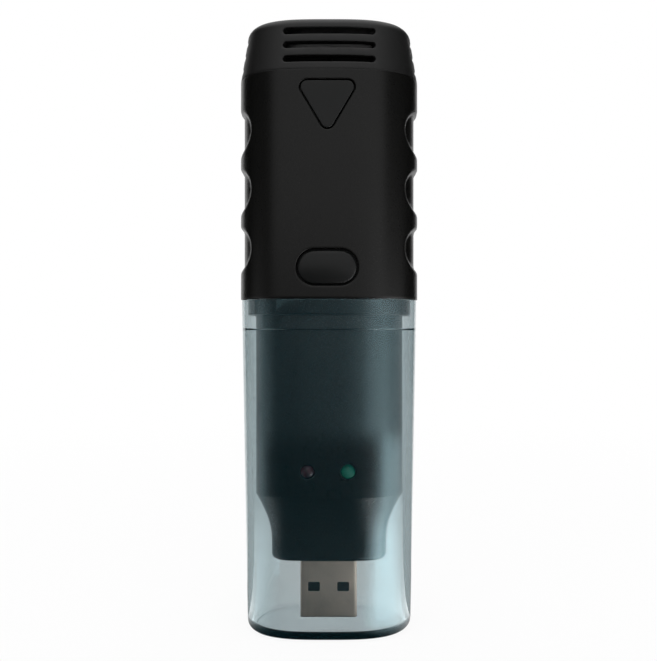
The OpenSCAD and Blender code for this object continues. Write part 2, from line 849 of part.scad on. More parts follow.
// A row of chip leads that leave an edge at a distance out, centred on height z
module lead_row(count, pitch, out) {
    bend = chip_lead_len / 2 - chip_lead_t;
    for (i = [0 : count - 1])
        translate([out, board_front_y - chip_t / 2, (i - (count - 1) / 2) * pitch - pitch / 4]) {
            cube([chip_lead_len / 2, chip_lead_t, pitch / 2]);
            translate([bend, 0, 0]) cube([chip_lead_t, chip_t / 2, pitch / 2]);
            translate([bend, chip_t / 2 - chip_lead_t, 0])
                cube([chip_lead_len / 2 + chip_lead_t, chip_lead_t, pitch / 2]);
        }
}

module microcontroller() { chip(chip_side, chip_side, chip_z); }
module memory_chip() { chip(memory_w, memory_h, memory_z); }

module microcontroller_leads() {
    color("#b9bcbd") translate([0, 0, chip_z]) for (turn = [0 : 90 : 270])
        rotate([0, turn, 0]) lead_row(chip_leads, chip_side / (chip_leads + 1), chip_side / 2);
}

module memory_leads() {
    color("#b9bcbd") translate([0, 0, memory_z]) for (turn = [0, 180])
        rotate([0, turn, 0]) lead_row(memory_leads, memory_h / memory_leads, memory_w / 2);
}

module crystal() {
    color("#c2c5c7") translate([crystal_side, board_front_y - crystal_r, chip_z - crystal_len / 2])
        cylinder(r = crystal_r, h = crystal_len);
}

module chip_capacitors() {
    low = chip_z - (cap_count - 1) / 2 * cap_chip_pitch - cap_chip_len / 2;
    color("#8c7356") for (i = [0 : cap_count - 1])
        translate([-crystal_side - cap_chip_w / 2, board_front_y - cap_chip_w, low + i * cap_chip_pitch])
            cube([cap_chip_w, cap_chip_w, cap_chip_len]);
}

module case_screws() {
    color("#8f9296") for (p = screw_places) difference() {
        union() {
            bar_y(p[0], p[1], screw_r, screw_seat_y - screw_len, screw_seat_y);
            bar_y(p[0], p[1], screw_head_r, screw_seat_y, screw_seat_y + screw_head_h);
        }
        for (turn = [0, 90])
            translate([p[0], screw_seat_y + screw_head_h, p[1]]) rotate([0, turn, 0])
                cube([2 * (screw_head_r - cross_w), 2 * cross_depth, cross_w], center = true);
    }
}

front_case();
rear_case();
vent_head();
clear_cap();
start_key();
mark_key();
start_plunger();
mark_plunger();
start_switch();
mark_switch();
main_board();
battery();
battery_plus_contact();
battery_minus_contact();
usb_shell();
usb_tongue();
usb_contacts();
red_led();
green_led();
led_leads();
temp_sensor();
sensor_leads();
microcontroller();
microcontroller_leads();
memory_chip();
memory_leads();
crystal();
chip_capacitors();
case_screws();
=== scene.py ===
import bpy
import bmesh
import math
import numpy as np
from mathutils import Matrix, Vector
from mathutils.geometry import delaunay_2d_cdt


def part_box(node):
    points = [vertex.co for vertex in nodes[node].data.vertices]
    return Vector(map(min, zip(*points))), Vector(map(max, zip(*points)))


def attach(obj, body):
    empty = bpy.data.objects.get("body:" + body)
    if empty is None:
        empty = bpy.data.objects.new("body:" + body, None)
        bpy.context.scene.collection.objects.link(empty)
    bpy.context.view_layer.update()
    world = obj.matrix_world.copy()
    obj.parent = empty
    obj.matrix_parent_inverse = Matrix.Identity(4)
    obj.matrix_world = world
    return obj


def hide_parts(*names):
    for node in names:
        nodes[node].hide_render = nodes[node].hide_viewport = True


# Looks for the stick-shaped temperature data logger. Shapes are worked out in millimetres in the
# frame's own axes and written to the meshes in metres.

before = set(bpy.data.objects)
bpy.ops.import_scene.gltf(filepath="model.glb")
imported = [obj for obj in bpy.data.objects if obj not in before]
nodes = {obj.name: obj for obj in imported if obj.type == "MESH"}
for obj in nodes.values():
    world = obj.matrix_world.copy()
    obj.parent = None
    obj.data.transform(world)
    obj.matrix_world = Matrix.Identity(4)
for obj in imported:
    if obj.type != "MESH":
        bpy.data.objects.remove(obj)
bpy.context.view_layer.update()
mm = 0.001
onLine = 1e-4         # how near a line still counts as on it
atEdge = 0.01         # how near a window's line its wall runs straight in
farOff = 9            # further than any rounded edge reaches
firstLine = 0.035     # first line of points in from a rounded rim


def boxMm(node):
    low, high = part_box(node)
    return np.array(low) / mm, np.array(high) / mm


caseLow, caseHigh = boxMm("front_case")
backHigh, headHigh, capHigh = (boxMm(node)[1] for node in ("rear_case", "vent_head", "clear_cap"))
plugLow, plugHigh = boxMm("usb_shell")

# Driving sizes of the outside, read off the frame where it has them
logger = {
    "wide": caseHigh[0] - caseLow[0],
    "deep": backHigh[1] - caseLow[1],
    "frontPower": 3.3,           # flatness of front and back: 2 is an ellipse, 4 nearly straight
    "sidePower": 2.2,            # flatness of the sides
    "tipPower": 4.2,             # flatness all round at the neck's narrow end
    "seam": 70.2,                # height where grip and cap meet
    "crease": caseHigh[2],       # height where grip and head meet
    "top": headHigh[2],
    "neckEnd": caseLow[2],
    "wall": 1.8,
    "pocketDepth": 0.8,
}

print("frame loaded")


# Outlines: a rounded ring of given width and depth, followed by the angle t. It runs from the
# grip's flatness at box 0 to the narrow end's at box 1.

def flatness(box):
    front, side, tip = logger["frontPower"], logger["sidePower"], logger["tipPower"]
    return front + (tip - front) * box, side + (tip - side) * box


def ringPoint(wide, deep, t, box=0.0):
    p, q = flatness(box)
    c, s = np.cos(t), np.sin(t)
    return wide / 2 * np.sign(c) * np.abs(c) ** (2 / p), deep / 2 * np.sign(s) * np.abs(s) ** (2 / q)


def ringNormal(wide, deep, t, box=0.0):
    x, y = ringPoint(wide, deep, t, box)
    a, b = wide / 2, deep / 2
    p, q = flatness(box)
    nx = np.sign(x) * p * np.abs(x / a) ** (p - 1) / a
    ny = np.sign(y) * q * np.abs(y / b) ** (q - 1) / b
    size = np.sqrt(nx * nx + ny * ny)
    return nx / size, ny / size


# Length along the grip's outline against t, over more than one turn so that a sheet may start anywhere.
# The steps are finest where the outline crosses an axis.
quarterSteps = np.linspace(0, 1, 2000, endpoint=False)
quarter = math.pi / 2 * quarterSteps ** 3 * (10 - 15 * quarterSteps + 6 * quarterSteps ** 2)
tTable = np.concatenate([k * math.pi / 2 + quarter for k in range(-2, 6)] + [[3 * math.pi]])
ringTableX, ringTableY = ringPoint(logger["wide"], logger["deep"], tTable)
lengthTable = np.concatenate([[0], np.cumsum(np.hypot(np.diff(ringTableX), np.diff(ringTableY)))])
lengthTable -= np.interp(0, tTable, lengthTable)


def lengthAt(t):
    return np.interp(t, tTable, lengthTable)


def angleAt(length):
    return np.interp(length, lengthTable, tTable)


roundTrip = float(lengthAt(2 * math.pi))


# Places on the outline for a feature drawn in the plane that it is seen in

def frontAngle(x, wide):
    return 2 * math.pi - np.arccos(np.sign(x) * np.abs(2 * x / wide) ** (logger["frontPower"] / 2))


def backAngle(x, wide):
    return np.arccos(np.sign(x) * np.abs(2 * x / wide) ** (logger["frontPower"] / 2))


def rightAngle(y, deep):
    return np.arcsin(np.sign(y) * np.abs(2 * y / deep) ** (logger["sidePower"] / 2))


def leftAngle(y, deep):
    return math.pi - rightAngle(y, deep)


# Flat shapes: each gives its loop at a distance outside its line, and the distance of points from it

def ovalShape(cx, cz, wide, high, steps=20):
    half = (wide - high) / 2

    def loop(out):
        r = high / 2 + out
        a = np.linspace(-math.pi / 2, math.pi / 2, steps + 1)
        right = np.stack([cx + half + r * np.cos(a), cz + r * np.sin(a)], 1)
        left = np.stack([cx - half - r * np.cos(a), cz - r * np.sin(a)], 1)
        flat = np.linspace(0.05, 0.95, max(2, int(2 * half / 0.6)))[:, None]
        upper = right[-1] + (left[0] - right[-1]) * flat
        lower = left[-1] + (right[0] - left[-1]) * flat
        return np.concatenate([right, upper, left, lower])

    def distance(x, z):
        dx = np.maximum(np.abs(x - cx) - half, 0)
        return np.hypot(dx, z - cz) - high / 2

    return loop, distance


def roundedShape(corners, r, steps=10):
    # Straight sides round these centres of its corners
    corners = np.array(corners, float)

    def loop(out):
        points = []
        count = len(corners)
        for i in range(count):
            before, here, after = corners[i - 1], corners[i], corners[(i + 1) % count]
            goIn, goOut = here - before, after - here
            a0 = math.atan2(goIn[1], goIn[0]) - math.pi / 2
            a1 = math.atan2(goOut[1], goOut[0]) - math.pi / 2
            if a1 < a0:
                a1 += 2 * math.pi
            a = np.linspace(a0, a1, steps + 1)
            arc = here + (r + out) * np.stack([np.cos(a), np.sin(a)], 1)
            points.append(arc)
            start = arc[-1]
            end = after + (r + out) * np.array([math.cos(a1), math.sin(a1)])
            flat = np.linspace(0.06, 0.94, 12)[:, None]
            points.append(start + (end - start) * flat)
        return np.concatenate(points)

    def distance(x, z):
        best = np.full(np.shape(x), 1e9)
        inside = np.ones(np.shape(x), bool)
        for i in range(len(corners)):
            p, q = corners[i], corners[(i + 1) % len(corners)]
            e = q - p
            k = np.clip(((x - p[0]) * e[0] + (z - p[1]) * e[1]) / (e @ e), 0, 1)
            best = np.minimum(best, np.hypot(x - p[0] - k * e[0], z - p[1] - k * e[1]))
            inside &= e[0] * (z - p[1]) - e[1] * (x - p[0]) > 0
        return np.where(inside, -best, best) - r

    return loop, distance


def roundHole(cx, cz, r, steps):
    # An oval that is round but for a hair
    return ovalShape(cx, cz, 2 * r, 2 * r - 1e-3, steps)


def eggShape(cy, cz, wide, high, count=72):
    # The outline of a finger pocket seen from the side, with the same roundness as the case
    t = np.linspace(0, 2 * math.pi, count, endpoint=False)

    def loop(out):
        x, z = ringPoint(wide + 2 * out, high + 2 * out, t)
        return np.stack([cy + x, cz + z], 1)

    def distance(y, z):
        # Halves the range in which the loop through each point lies
        p, q = flatness(0)
        low, far = np.full(np.shape(y), -high / 2 + 1e-6), np.full(np.shape(y), 6.0)
        for _ in range(30):
            out = (low + far) / 2
            outside = (np.abs(y - cy) / (wide / 2 + out)) ** p + (np.abs(z - cz) / (high / 2 + out)) ** q > 1
            low, far = np.where(outside, out, low), np.where(outside, far, out)
        return (low + far) / 2

    return loop, distance


def panelShape(cx, cz, wide, high, r, steps=8):
    # A rectangle with round corners
    corners = [(cx + wide / 2 - r, cz - high / 2 + r), (cx + wide / 2 - r, cz + high / 2 - r),
               (cx - wide / 2 + r, cz + high / 2 - r), (cx - wide / 2 + r, cz - high / 2 + r)]
    return roundedShape(corners, r, steps)


def roundedDrop(out, r):
    # How deep a rounded edge of radius r has fallen at a distance out from the wall
    k = np.clip(out, 0, r)
    return r - np.sqrt(np.maximum(r * r - (r - k) ** 2, 0))


def lipDrop(out, r):
    # The same round a hole; points inside the hole's line stay at the wall
    return roundedDrop(np.where(out < -onLine, farOff, out), r)


def arcSteps(r, *degrees):
    # How far in and how far on a quarter circle of radius r has come at each angle
    return [(r * (1 - math.cos(math.radians(a))), r * math.sin(math.radians(a))) for a in degrees]


def gradedLines(low, high, step, lowEdge=(), highEdge=()):
    inner0 = low + (lowEdge[-1] if lowEdge else 0)
    inner1 = high - (highEdge[-1] if highEdge else 0)
    count = max(2, int(round((inner1 - inner0) / step)) + 1)
    lines = [low] + [low + e for e in lowEdge[:-1]] + list(np.linspace(inner0, inner1, count))
    lines += [high - e for e in reversed(highEdge[:-1])] + [high]
    return np.unique(np.round(lines, 6))


def turnOut(flat, faces):
    # Drops faces without an area and turns the others one way
    a, b, c = flat[faces[:, 0]], flat[faces[:, 1]], flat[faces[:, 2]]
    area = (b[:, 0] - a[:, 0]) * (c[:, 1] - a[:, 1]) - (b[:, 1] - a[:, 1]) * (c[:, 0] - a[:, 0])
    faces = faces[np.abs(area) > 1e-9]
    area = area[np.abs(area) > 1e-9]
    faces[area < 0] = faces[area < 0][:, ::-1]
    return faces


def netThrough(points, loops):
    # Triangles over flat points, kept to the line of every loop
    verts, edges = [Vector(p) for p in points], []
    for loop in loops:
        start, count = len(verts), len(loop)
        verts += [Vector(p) for p in loop]
        last = count if getattr(loop, "closed", True) else count - 1
        edges += [(start + i, start + (i + 1) % count) for i in range(last)]
    out = delaunay_2d_cdt(verts, edges, [], 0, 1e-7)
    flat = np.array([tuple(v) for v in out[0]])
    return flat, turnOut(flat, np.array([f for f in out[2] if len(f) == 3], int))


def cutSheet(lineS, lineZ, loops, space):
    # A net over a rectangle of length and height, whose own points keep this space from every loop
    gridS, gridZ = np.meshgrid(lineS, lineZ)
    points = np.stack([gridS.ravel(), gridZ.ravel()], 1)
    edge = ((points[:, 0] <= lineS[0] + 1e-9) | (points[:, 0] >= lineS[-1] - 1e-9)
            | (points[:, 1] <= lineZ[0] + 1e-9) | (points[:, 1] >= lineZ[-1] - 1e-9))
    keep = np.ones(len(points), bool)
    for loop in loops:
        low, high = loop.min(0) - space, loop.max(0) + space
        near = ((points > low) & (points < high)).all(1) & ~edge & keep
        index = np.nonzero(near)[0]
        if len(index):
            apart = points[index, None] - loop[None]
            keep[index[np.hypot(apart[..., 0], apart[..., 1]).min(1) < space]] = False
    return netThrough(points[keep], loops)


def openEdges(faces):
    directed = {}
    for f in faces:
        for i in range(3):
            directed[(int(f[i]), int(f[(i + 1) % 3]))] = True
    return [e for e in directed if (e[1], e[0]) not in directed]


def closedSheet(outer, inner, faces, skip=None):
    # Joins an outer and an inner skin along their open edges; skip(a, b) leaves an edge open
    count = len(outer)
    verts = np.concatenate([outer, inner])
    polys = [tuple(int(i) for i in f) for f in faces]
    polys += [tuple(int(i) + count for i in f[::-1]) for f in faces]
    for a, b in openEdges(faces):
        if skip is None or not skip(a, b):
            polys.append((b, a, a + count, b + count))
    return verts, polys


def bandFaces(low, high):
    # Four-sided faces between two closed rows of points
    count = len(low)
    return [(low[i], low[(i + 1) % count], high[(i + 1) % count], high[i]) for i in range(count)]


def ringStack(rings, segments=240, closed=True):
    # Rings of height, width and depth, joined in order from the outside at the foot
    t = angleAt(np.linspace(0, roundTrip, segments, endpoint=False))
    rows = [range(k * segments, (k + 1) * segments) for k in range(len(rings))]
    verts, polys = [], []
    for z, wide, deep in rings:
        x, y = ringPoint(wide, deep, t)
        verts += [(x[i], y[i], z) for i in range(segments)]
    for low, high in zip(rows, rows[1:]):
        polys += bandFaces(low, high)
    if closed:
        polys += [tuple(reversed(rows[0])), tuple(rows[-1])]
    return np.array(verts), polys


def lathe(profile, at, segments=48):
    # Turns a profile of radius and height, from the axis back to the axis, that stands up from at
    # towards the front
    verts, polys, rows = [], [], []
    for r, h in profile:
        if r < 1e-6:
            rows.append([len(verts)])
            verts.append((0, -h, 0))
        else:
            rows.append(list(range(len(verts), len(verts) + segments)))
            for i in range(segments):
                a = 2 * math.pi * i / segments
                verts.append((r * math.cos(a), -h, r * math.sin(a)))
    for low, high in zip(rows, rows[1:]):
        for i in range(segments):
            j = (i + 1) % segments
            if len(low) == 1:
                polys.append((low[0], high[j], high[i]))
            elif len(high) == 1:
                polys.append((low[i], low[j], high[0]))
            else:
                polys.append((low[i], low[j], high[j], high[i]))
    return np.array(verts) + np.array(at), polys


def makePiece(name, parts, body, material, replaced=(), sharp=38, merge=0.0005):
    # parts is a list of vertices and polygons in millimetres, joined into one mesh
    mesh = bpy.data.meshes.new(name)
    verts, polys = [], []
    for partVerts, partPolys in parts:
        base = len(verts)
        verts += [tuple(float(c) * mm for c in v) for v in partVerts]
        polys += [tuple(i + base for i in p) for p in partPolys]
    mesh.from_pydata(verts, [], polys)
    bm = bmesh.new()
    bm.from_mesh(mesh)
    bmesh.ops.remove_doubles(bm, verts=bm.verts, dist=merge * mm)
    bmesh.ops.dissolve_degenerate(bm, edges=bm.edges, dist=0.0001 * mm)
    bm.to_mesh(mesh)
    bm.free()
    mesh.polygons.foreach_set("use_smooth", [True] * len(mesh.polygons))
    mesh.set_sharp_from_angle(angle=math.radians(sharp))
    mesh.validate()
    mesh.update()
    piece = bpy.data.objects.new(name, mesh)
    bpy.context.scene.collection.objects.link(piece)
    mesh.materials.append(material)
    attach(piece, body)
    if replaced:
        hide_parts(*replaced)
    return piece


# Materials

def newMaterial(name):
    material = bpy.data.materials.new(name)
    material.use_nodes = True
    tree = material.node_tree
    shader = tree.nodes["Principled BSDF"]
    return material, tree, shader


def addNode(tree, kind, **values):
    node = tree.nodes.new(kind)
    for key, value in values.items():
        if key in node.inputs:
            node.inputs[key].default_value = value
        else:
            setattr(node, key, value)
    return node


def noiseNode(tree, size, detail=2.0, rough=0.5):
    # Noise with features of about size millimetres
    coords = addNode(tree, "ShaderNodeTexCoord")
    noise = addNode(tree, "ShaderNodeTexNoise")
    noise.inputs["Scale"].default_value = 1 / (size * mm)
    noise.inputs["Detail"].default_value = detail
    noise.inputs["Roughness"].default_value = rough
    tree.links.new(coords.outputs["Object"], noise.inputs["Vector"])
    return noise


def rampNode(tree, source, stops):
    ramp = tree.nodes.new("ShaderNodeValToRGB")
    while len(ramp.color_ramp.elements) > 1:
        ramp.color_ramp.elements.remove(ramp.color_ramp.elements[-1])
    first = True
    for place, colour in stops:
        element = ramp.color_ramp.elements[0] if first else ramp.color_ramp.elements.new(place)
        element.position = place
        element.color = (*colour, 1)
        first = False
    tree.links.new(source, ramp.inputs["Fac"])
    return ramp


def rangeNode(tree, source, low, high):
    spread = tree.nodes.new("ShaderNodeMapRange")
    spread.inputs["From Min"].default_value = 0.3
    spread.inputs["From Max"].default_value = 0.7
    spread.inputs["To Min"].default_value = low
    spread.inputs["To Max"].default_value = high
    tree.links.new(source, spread.inputs["Value"])
    return spread


def addColour(tree, shader, noise, dark, light):
    ramp = rampNode(tree, noise.outputs["Fac"], [(0.35, dark), (0.65, light)])
    tree.links.new(ramp.outputs["Color"], shader.inputs["Base Color"])


def addRoughness(tree, shader, noise, low, high):
    spread = rangeNode(tree, noise.outputs["Fac"], low, high)
    tree.links.new(spread.outputs["Result"], shader.inputs["Roughness"])


def addBump(tree, shader, noise, strength, height):
    bump = addNode(tree, "ShaderNodeBump", Strength=strength, Distance=height * mm)
    tree.links.new(noise.outputs["Fac"], bump.inputs["Height"])
    tree.links.new(bump.outputs["Normal"], shader.inputs["Normal"])


def mouldedPlastic(name, colour, rough, grain, cloud, mottle, bump, gloss):
    # Spark-eroded moulding: fine grain in the surface, slightly uneven sheen, faint mottling
    material, tree, shader = newMaterial(name)
    fine = noiseNode(tree, grain, 3, 0.6)
    addColour(tree, shader, noiseNode(tree, cloud), [c * (1 - mottle) for c in colour],
              [c * (1 + mottle) for c in colour])
    addRoughness(tree, shader, fine, rough - 0.05, rough + 0.05)
    addBump(tree, shader, fine, bump, grain * 0.25)
    shader.inputs["Specular IOR Level"].default_value = gloss
    return material


def metalFinish(name, colour, rough, grain, cloud, bump):
    # Plated or drawn metal: slight colour drift and fine wear in the gloss
    material, tree, shader = newMaterial(name)
    shader.inputs["Metallic"].default_value = 1
    fine = noiseNode(tree, grain, 3, 0.7)
    addColour(tree, shader, noiseNode(tree, cloud, 4, 0.6), [c * 0.88 for c in colour], colour)
    addRoughness(tree, shader, fine, rough * 0.75, rough * 1.25)
    addBump(tree, shader, fine, bump, grain * 0.1)
    return material


smoke = {
    "ior": 1.49, "haze": (0.98, 0.99, 1.0), "clear": 1.0, "rough": 0.02,
    "wave": 14, "waveHigh": 0.02, "bump": 0.15,           # gentle waves in the surface, in mm
    "tint": (0.235, 0.36, 0.378), "density": 380,         # smoke in the wall
    "veil": 0.022, "veilRough": 0.9, "veilTint": (0.08, 0.72, 1.0), "glossTint": (0.62, 0.92, 1.0),
}


def clearPlastic(name, look):
    # Polished clear plastic: smoke that grows with its thickness, under a faint cool veil
    material, tree, shader = newMaterial(name)
    for socket, value in (("Base Color", (*look["haze"], 1)), ("Transmission Weight", look["clear"]),
                          ("IOR", look["ior"]), ("Specular Tint", (*look["glossTint"], 1)),
                          ("Sheen Weight", look["veil"]), ("Sheen Roughness", look["veilRough"]),
                          ("Sheen Tint", (*look["veilTint"], 1))):
        shader.inputs[socket].default_value = value
    wave = noiseNode(tree, look["wave"], 2, 0.4)
    addRoughness(tree, shader, wave, look["rough"] * 0.6, look["rough"] * 1.4)
    addBump(tree, shader, wave, look["bump"], look["waveHigh"])
    absorb = tree.nodes.new("ShaderNodeVolumeAbsorption")
    absorb.inputs["Color"].default_value = (*look["tint"], 1)
    absorb.inputs["Density"].default_value = look["density"]
    tree.links.new(absorb.outputs["Volume"], tree.nodes["Material Output"].inputs["Volume"])
    return material


# Name, colour, roughness, size of grain and of clouds in mm, mottling, bump and gloss
plastics = {
    "case": ("caseBlack", (0.003, 0.003, 0.0028), 0.31, 0.3, 9, 0.08, 0.12, 0.23),
    "head": ("headBlack", (0.005, 0.005, 0.005), 0.45, 0.3, 9, 0.08, 0.12, 0.27),
    "key": ("keyBlack", (0.0042, 0.0046, 0.0046), 0.38, 0.25, 6, 0.06, 0.1, 0.22),
    "neck": ("neckBlack", (0.003, 0.003, 0.003), 0.3, 0.3, 9, 0.08, 0.03, 0.62),
    "part": ("partBlack", (0.02, 0.02, 0.021), 0.5, 0.2, 4, 0.1, 0.2, 0.3),
    "board": ("solderMask", (0.003, 0.0035, 0.0033), 0.5, 0.5, 2, 0.25, 0.2, 0.08),
    "sleeve": ("shrinkSleeve", (0.08, 0.16, 0.27), 0.3, 1.2, 5, 0.1, 0.2, 0.5),
    "resin": ("dippedResin", (0.005, 0.0045, 0.004), 0.4, 0.6, 1, 0.15, 0.3, 0.15),
    "ceramic": ("firedCeramic", (0.3, 0.2, 0.12), 0.5, 0.1, 0.6, 0.15, 0.2, 0.4),
    "redLens": ("redLens", (0.06, 0.012, 0.02), 0.22, 0.5, 1.5, 0.08, 0.05, 0.5),
    "greenLens": ("greenLens", (0.01, 0.23, 0.15), 0.22, 0.5, 1.5, 0.08, 0.05, 0.5),
}
# Name, colour, roughness, size of grain and of clouds in mm, and bump
metals = {
    "nickel": ("nickelPlate", (0.93, 0.79, 0.69), 0.68, 0.2, 5, 0.15),
    "tin": ("brightTin", (0.72, 0.73, 0.73), 0.35, 0.2, 3, 0.2),
    "gold": ("goldFlash", (0.83, 0.6, 0.28), 0.25, 0.15, 2, 0.1),
    "steel": ("zincSteel", (0.42, 0.43, 0.45), 0.38, 0.15, 2, 0.3),
}
finishes = {key: mouldedPlastic(*look) for key, look in plastics.items()}
finishes.update({key: metalFinish(*look) for key, look in metals.items()})
finishes["smoke"] = clearPlastic("smokedClear", smoke)

print("materials made")


# Camera: level, at half the logger's height, in front and a little to its right

cameraSet = {
    "away": 188.3,       # from the middle of the grip
    "height": 63.6,
    "aside": -0.2,       # to the left of its own line
    "turn": 1.9,         # degrees towards the logger's right; the picture stays level with its front
    "focalPixels": 860,  # of an image 661 pixels high
    "imageHigh": 661,
}
camera = bpy.data.objects.new("camera", bpy.data.cameras.new("camera"))
bpy.context.scene.collection.objects.link(camera)
turn = math.radians(cameraSet["turn"])
camera.location = ((cameraSet["away"] * math.sin(turn) + cameraSet["aside"] * math.cos(turn)) * mm,
                   (-cameraSet["away"] * math.cos(turn) + cameraSet["aside"] * math.sin(turn)) * mm,
                   cameraSet["height"] * mm)
camera.rotation_euler = (math.pi / 2, 0, 0)
camera.data.shift_x = -math.tan(turn) * cameraSet["focalPixels"] / cameraSet["imageHigh"]
camera.data.sensor_width = 36
camera.data.lens = cameraSet["focalPixels"] * 36 / cameraSet["imageHigh"]
camera.data.clip_start = 0.01
camera.data.clip_end = 50
bpy.context.scene.camera = camera


# Studio: white ground and surround, broad soft lamps in front and above, and a screen round the front
# and sides that gloss shows in place of the white

studio = {
    "surround": 0.5,          # what the even surround gives off
    "floorSize": 6000, "floorGrey": 0.9,
    # The floor is part clear to these rays: they meet the white surround, or a cap drawn down past the floor
    "floorWhite": 0.92,       # share of the floor beside the logger that is clear to the camera
    "floorThrough": 0.5,      # and that does so through the clear cap, which keeps more of the shadow
    "whiteReach": (60, 450),  # distances over which the rest of it turns plain white too
    "airGap": 0.1,            # between the floor and the logger's foot
}


def mathNode(tree, operation, first, second):
    node = addNode(tree, "ShaderNodeMath", operation=operation)
    for socket, value in zip(node.inputs, (first, second)):
        if isinstance(value, (int, float)):
            socket.default_value = value
        else:
            tree.links.new(value, socket)
    return node.outputs["Value"]


def pathShare(tree, *kinds):
    # One where the ray is of any of these kinds, else zero
    rays = tree.nodes.new("ShaderNodeLightPath").outputs
    share = rays[kinds[0]]
    for kind in kinds[1:]:
        share = mathNode(tree, "MAXIMUM", share, rays[kind])
    return share


def mixOf(tree, share, first, second):
    mix = tree.nodes.new("ShaderNodeMixShader")
    tree.links.new(share, mix.inputs["Fac"])
    tree.links.new(first, mix.inputs[1])
    tree.links.new(second, mix.inputs[2])
    return mix.outputs["Shader"]


def plainGlow(tree, kind, level):
    glow = tree.nodes.new(kind)
    glow.inputs["Color"].default_value = (level, level, level, 1)
    return glow.outputs[0]


def easeNode(tree, source, start, end, first, last):
    # Eases from the first value to the last between start and end
    ease = tree.nodes.new("ShaderNodeMapRange")
    ease.interpolation_type = "SMOOTHSTEP"
    for name, value in (("From Min", start), ("From Max", end), ("To Min", first), ("To Max", last)):
        ease.inputs[name].default_value = value
    tree.links.new(source, ease.inputs["Value"])
    return ease.outputs["Result"]


def distanceNode(tree):
    place = tree.nodes.new("ShaderNodeNewGeometry")
    reach = addNode(tree, "ShaderNodeVectorMath", operation="LENGTH")
    tree.links.new(place.outputs["Position"], reach.inputs[0])
    return reach.outputs["Value"]


world = bpy.data.worlds.new("studioWorld")
bpy.context.scene.world = world
world.use_nodes = True
world.cycles.sampling_method = "NONE"     # so that each ray sees the surround that its kind should see
worldTree = world.node_tree
worldTree.nodes.clear()
worldOut = worldTree.nodes.new("ShaderNodeOutputWorld")
seenRays = ("Is Camera Ray", "Is Glossy Ray", "Is Transmission Ray")
worldTree.links.new(mixOf(worldTree, pathShare(worldTree, *seenRays),
                          plainGlow(worldTree, "ShaderNodeBackground", studio["surround"]),
                          plainGlow(worldTree, "ShaderNodeBackground", 1.0)), worldOut.inputs["Surface"])


def makeSheet(name, verts, polys, material):
    mesh = bpy.data.meshes.new(name)
    mesh.from_pydata([tuple(c * mm for c in vert) for vert in verts], [], polys)
    sheet = bpy.data.objects.new(name, mesh)
    bpy.context.scene.collection.objects.link(sheet)
    mesh.materials.append(material)
    return sheet


floorMaterial, floorTree, floorShader = newMaterial("paleFloor")
floorShader.inputs["Base Color"].default_value = (*(studio["floorGrey"],) * 3, 1)
floorShader.inputs["Roughness"].default_value = 0.9
floorShader.inputs["Specular IOR Level"].default_value = 0
near, far = (d * mm for d in studio["whiteReach"])
floorSeen = floorShader.outputs["BSDF"]
for kind, share in (("Is Camera Ray", studio["floorWhite"]), ("Is Transmission Ray", studio["floorThrough"]),
                    ("Is Glossy Ray", 1.0)):
    whiteShare = mathNode(floorTree, "MULTIPLY", pathShare(floorTree, kind),
                          easeNode(floorTree, distanceNode(floorTree), near, far, share, 1.0))
    floorSeen = mixOf(floorTree, whiteShare, floorSeen,
                      floorTree.nodes.new("ShaderNodeBsdfTransparent").outputs["BSDF"])
floorTree.links.new(floorSeen, floorTree.nodes["Material Output"].inputs["Surface"])
half, floorZ = studio["floorSize"] / 2, -studio["airGap"]
floorCorners = [(x, y, floorZ) for x, y in ((-half, -half), (half, -half), (half, half), (-half, half))]
makeSheet("studioFloor", floorCorners, [(0, 1, 2, 3)], floorMaterial)

# The screen's glow is given in degrees from the front towards the right, in zones that blend into each
# other between two distances on the floor; the upright part is the last zone and goes dark with height.
# A glow of 1 is white. Without the makeScreen calls gloss meets the white surround.
screen = {
    "inner": 3, "radius": 1400, "high": 1500, "steps": 40,
    "reach": 100,          # of the part that every bounced ray sees
    "flagReach": (138, 150),   # of the dark parts behind it, which a ray out of clear plastic does not see
    "flagCover": 0.72,     # how much of the white they hide close by; all of it further off
    "flagSolid": (350, 1000),
    "under": 0.05,         # below the logger's foot
    "most": 8.0,
    "zones": [
        [(0, 0.03)],
        [(-100, 2.2), (-77, 2.4), (-58, 1.0), (-45, 0.1), (20, 0.1), (28, 1.5), (42, 6.5), (66, 7.0),
         (90, 3.0)],
        [(-100, 0.6), (-77, 1.0), (-62, 0.12), (-50, 0.04), (26, 0.04), (36, 0.5), (46, 1.9), (56, 3.7),
         (85, 3.3), (100, 1.4)],
        [(-100, 0.2), (-77, 0.95), (-58, 0.42), (-45, 0.17), (-15, 0.14), (0, 0.25), (14, 0.6), (28, 1.5),
         (47, 2.0), (85, 1.2), (100, 0.2)],
    ],
    "blends": [(15, 28), (70, 130), (240, 345)],
    "fade": (60, 200),
}


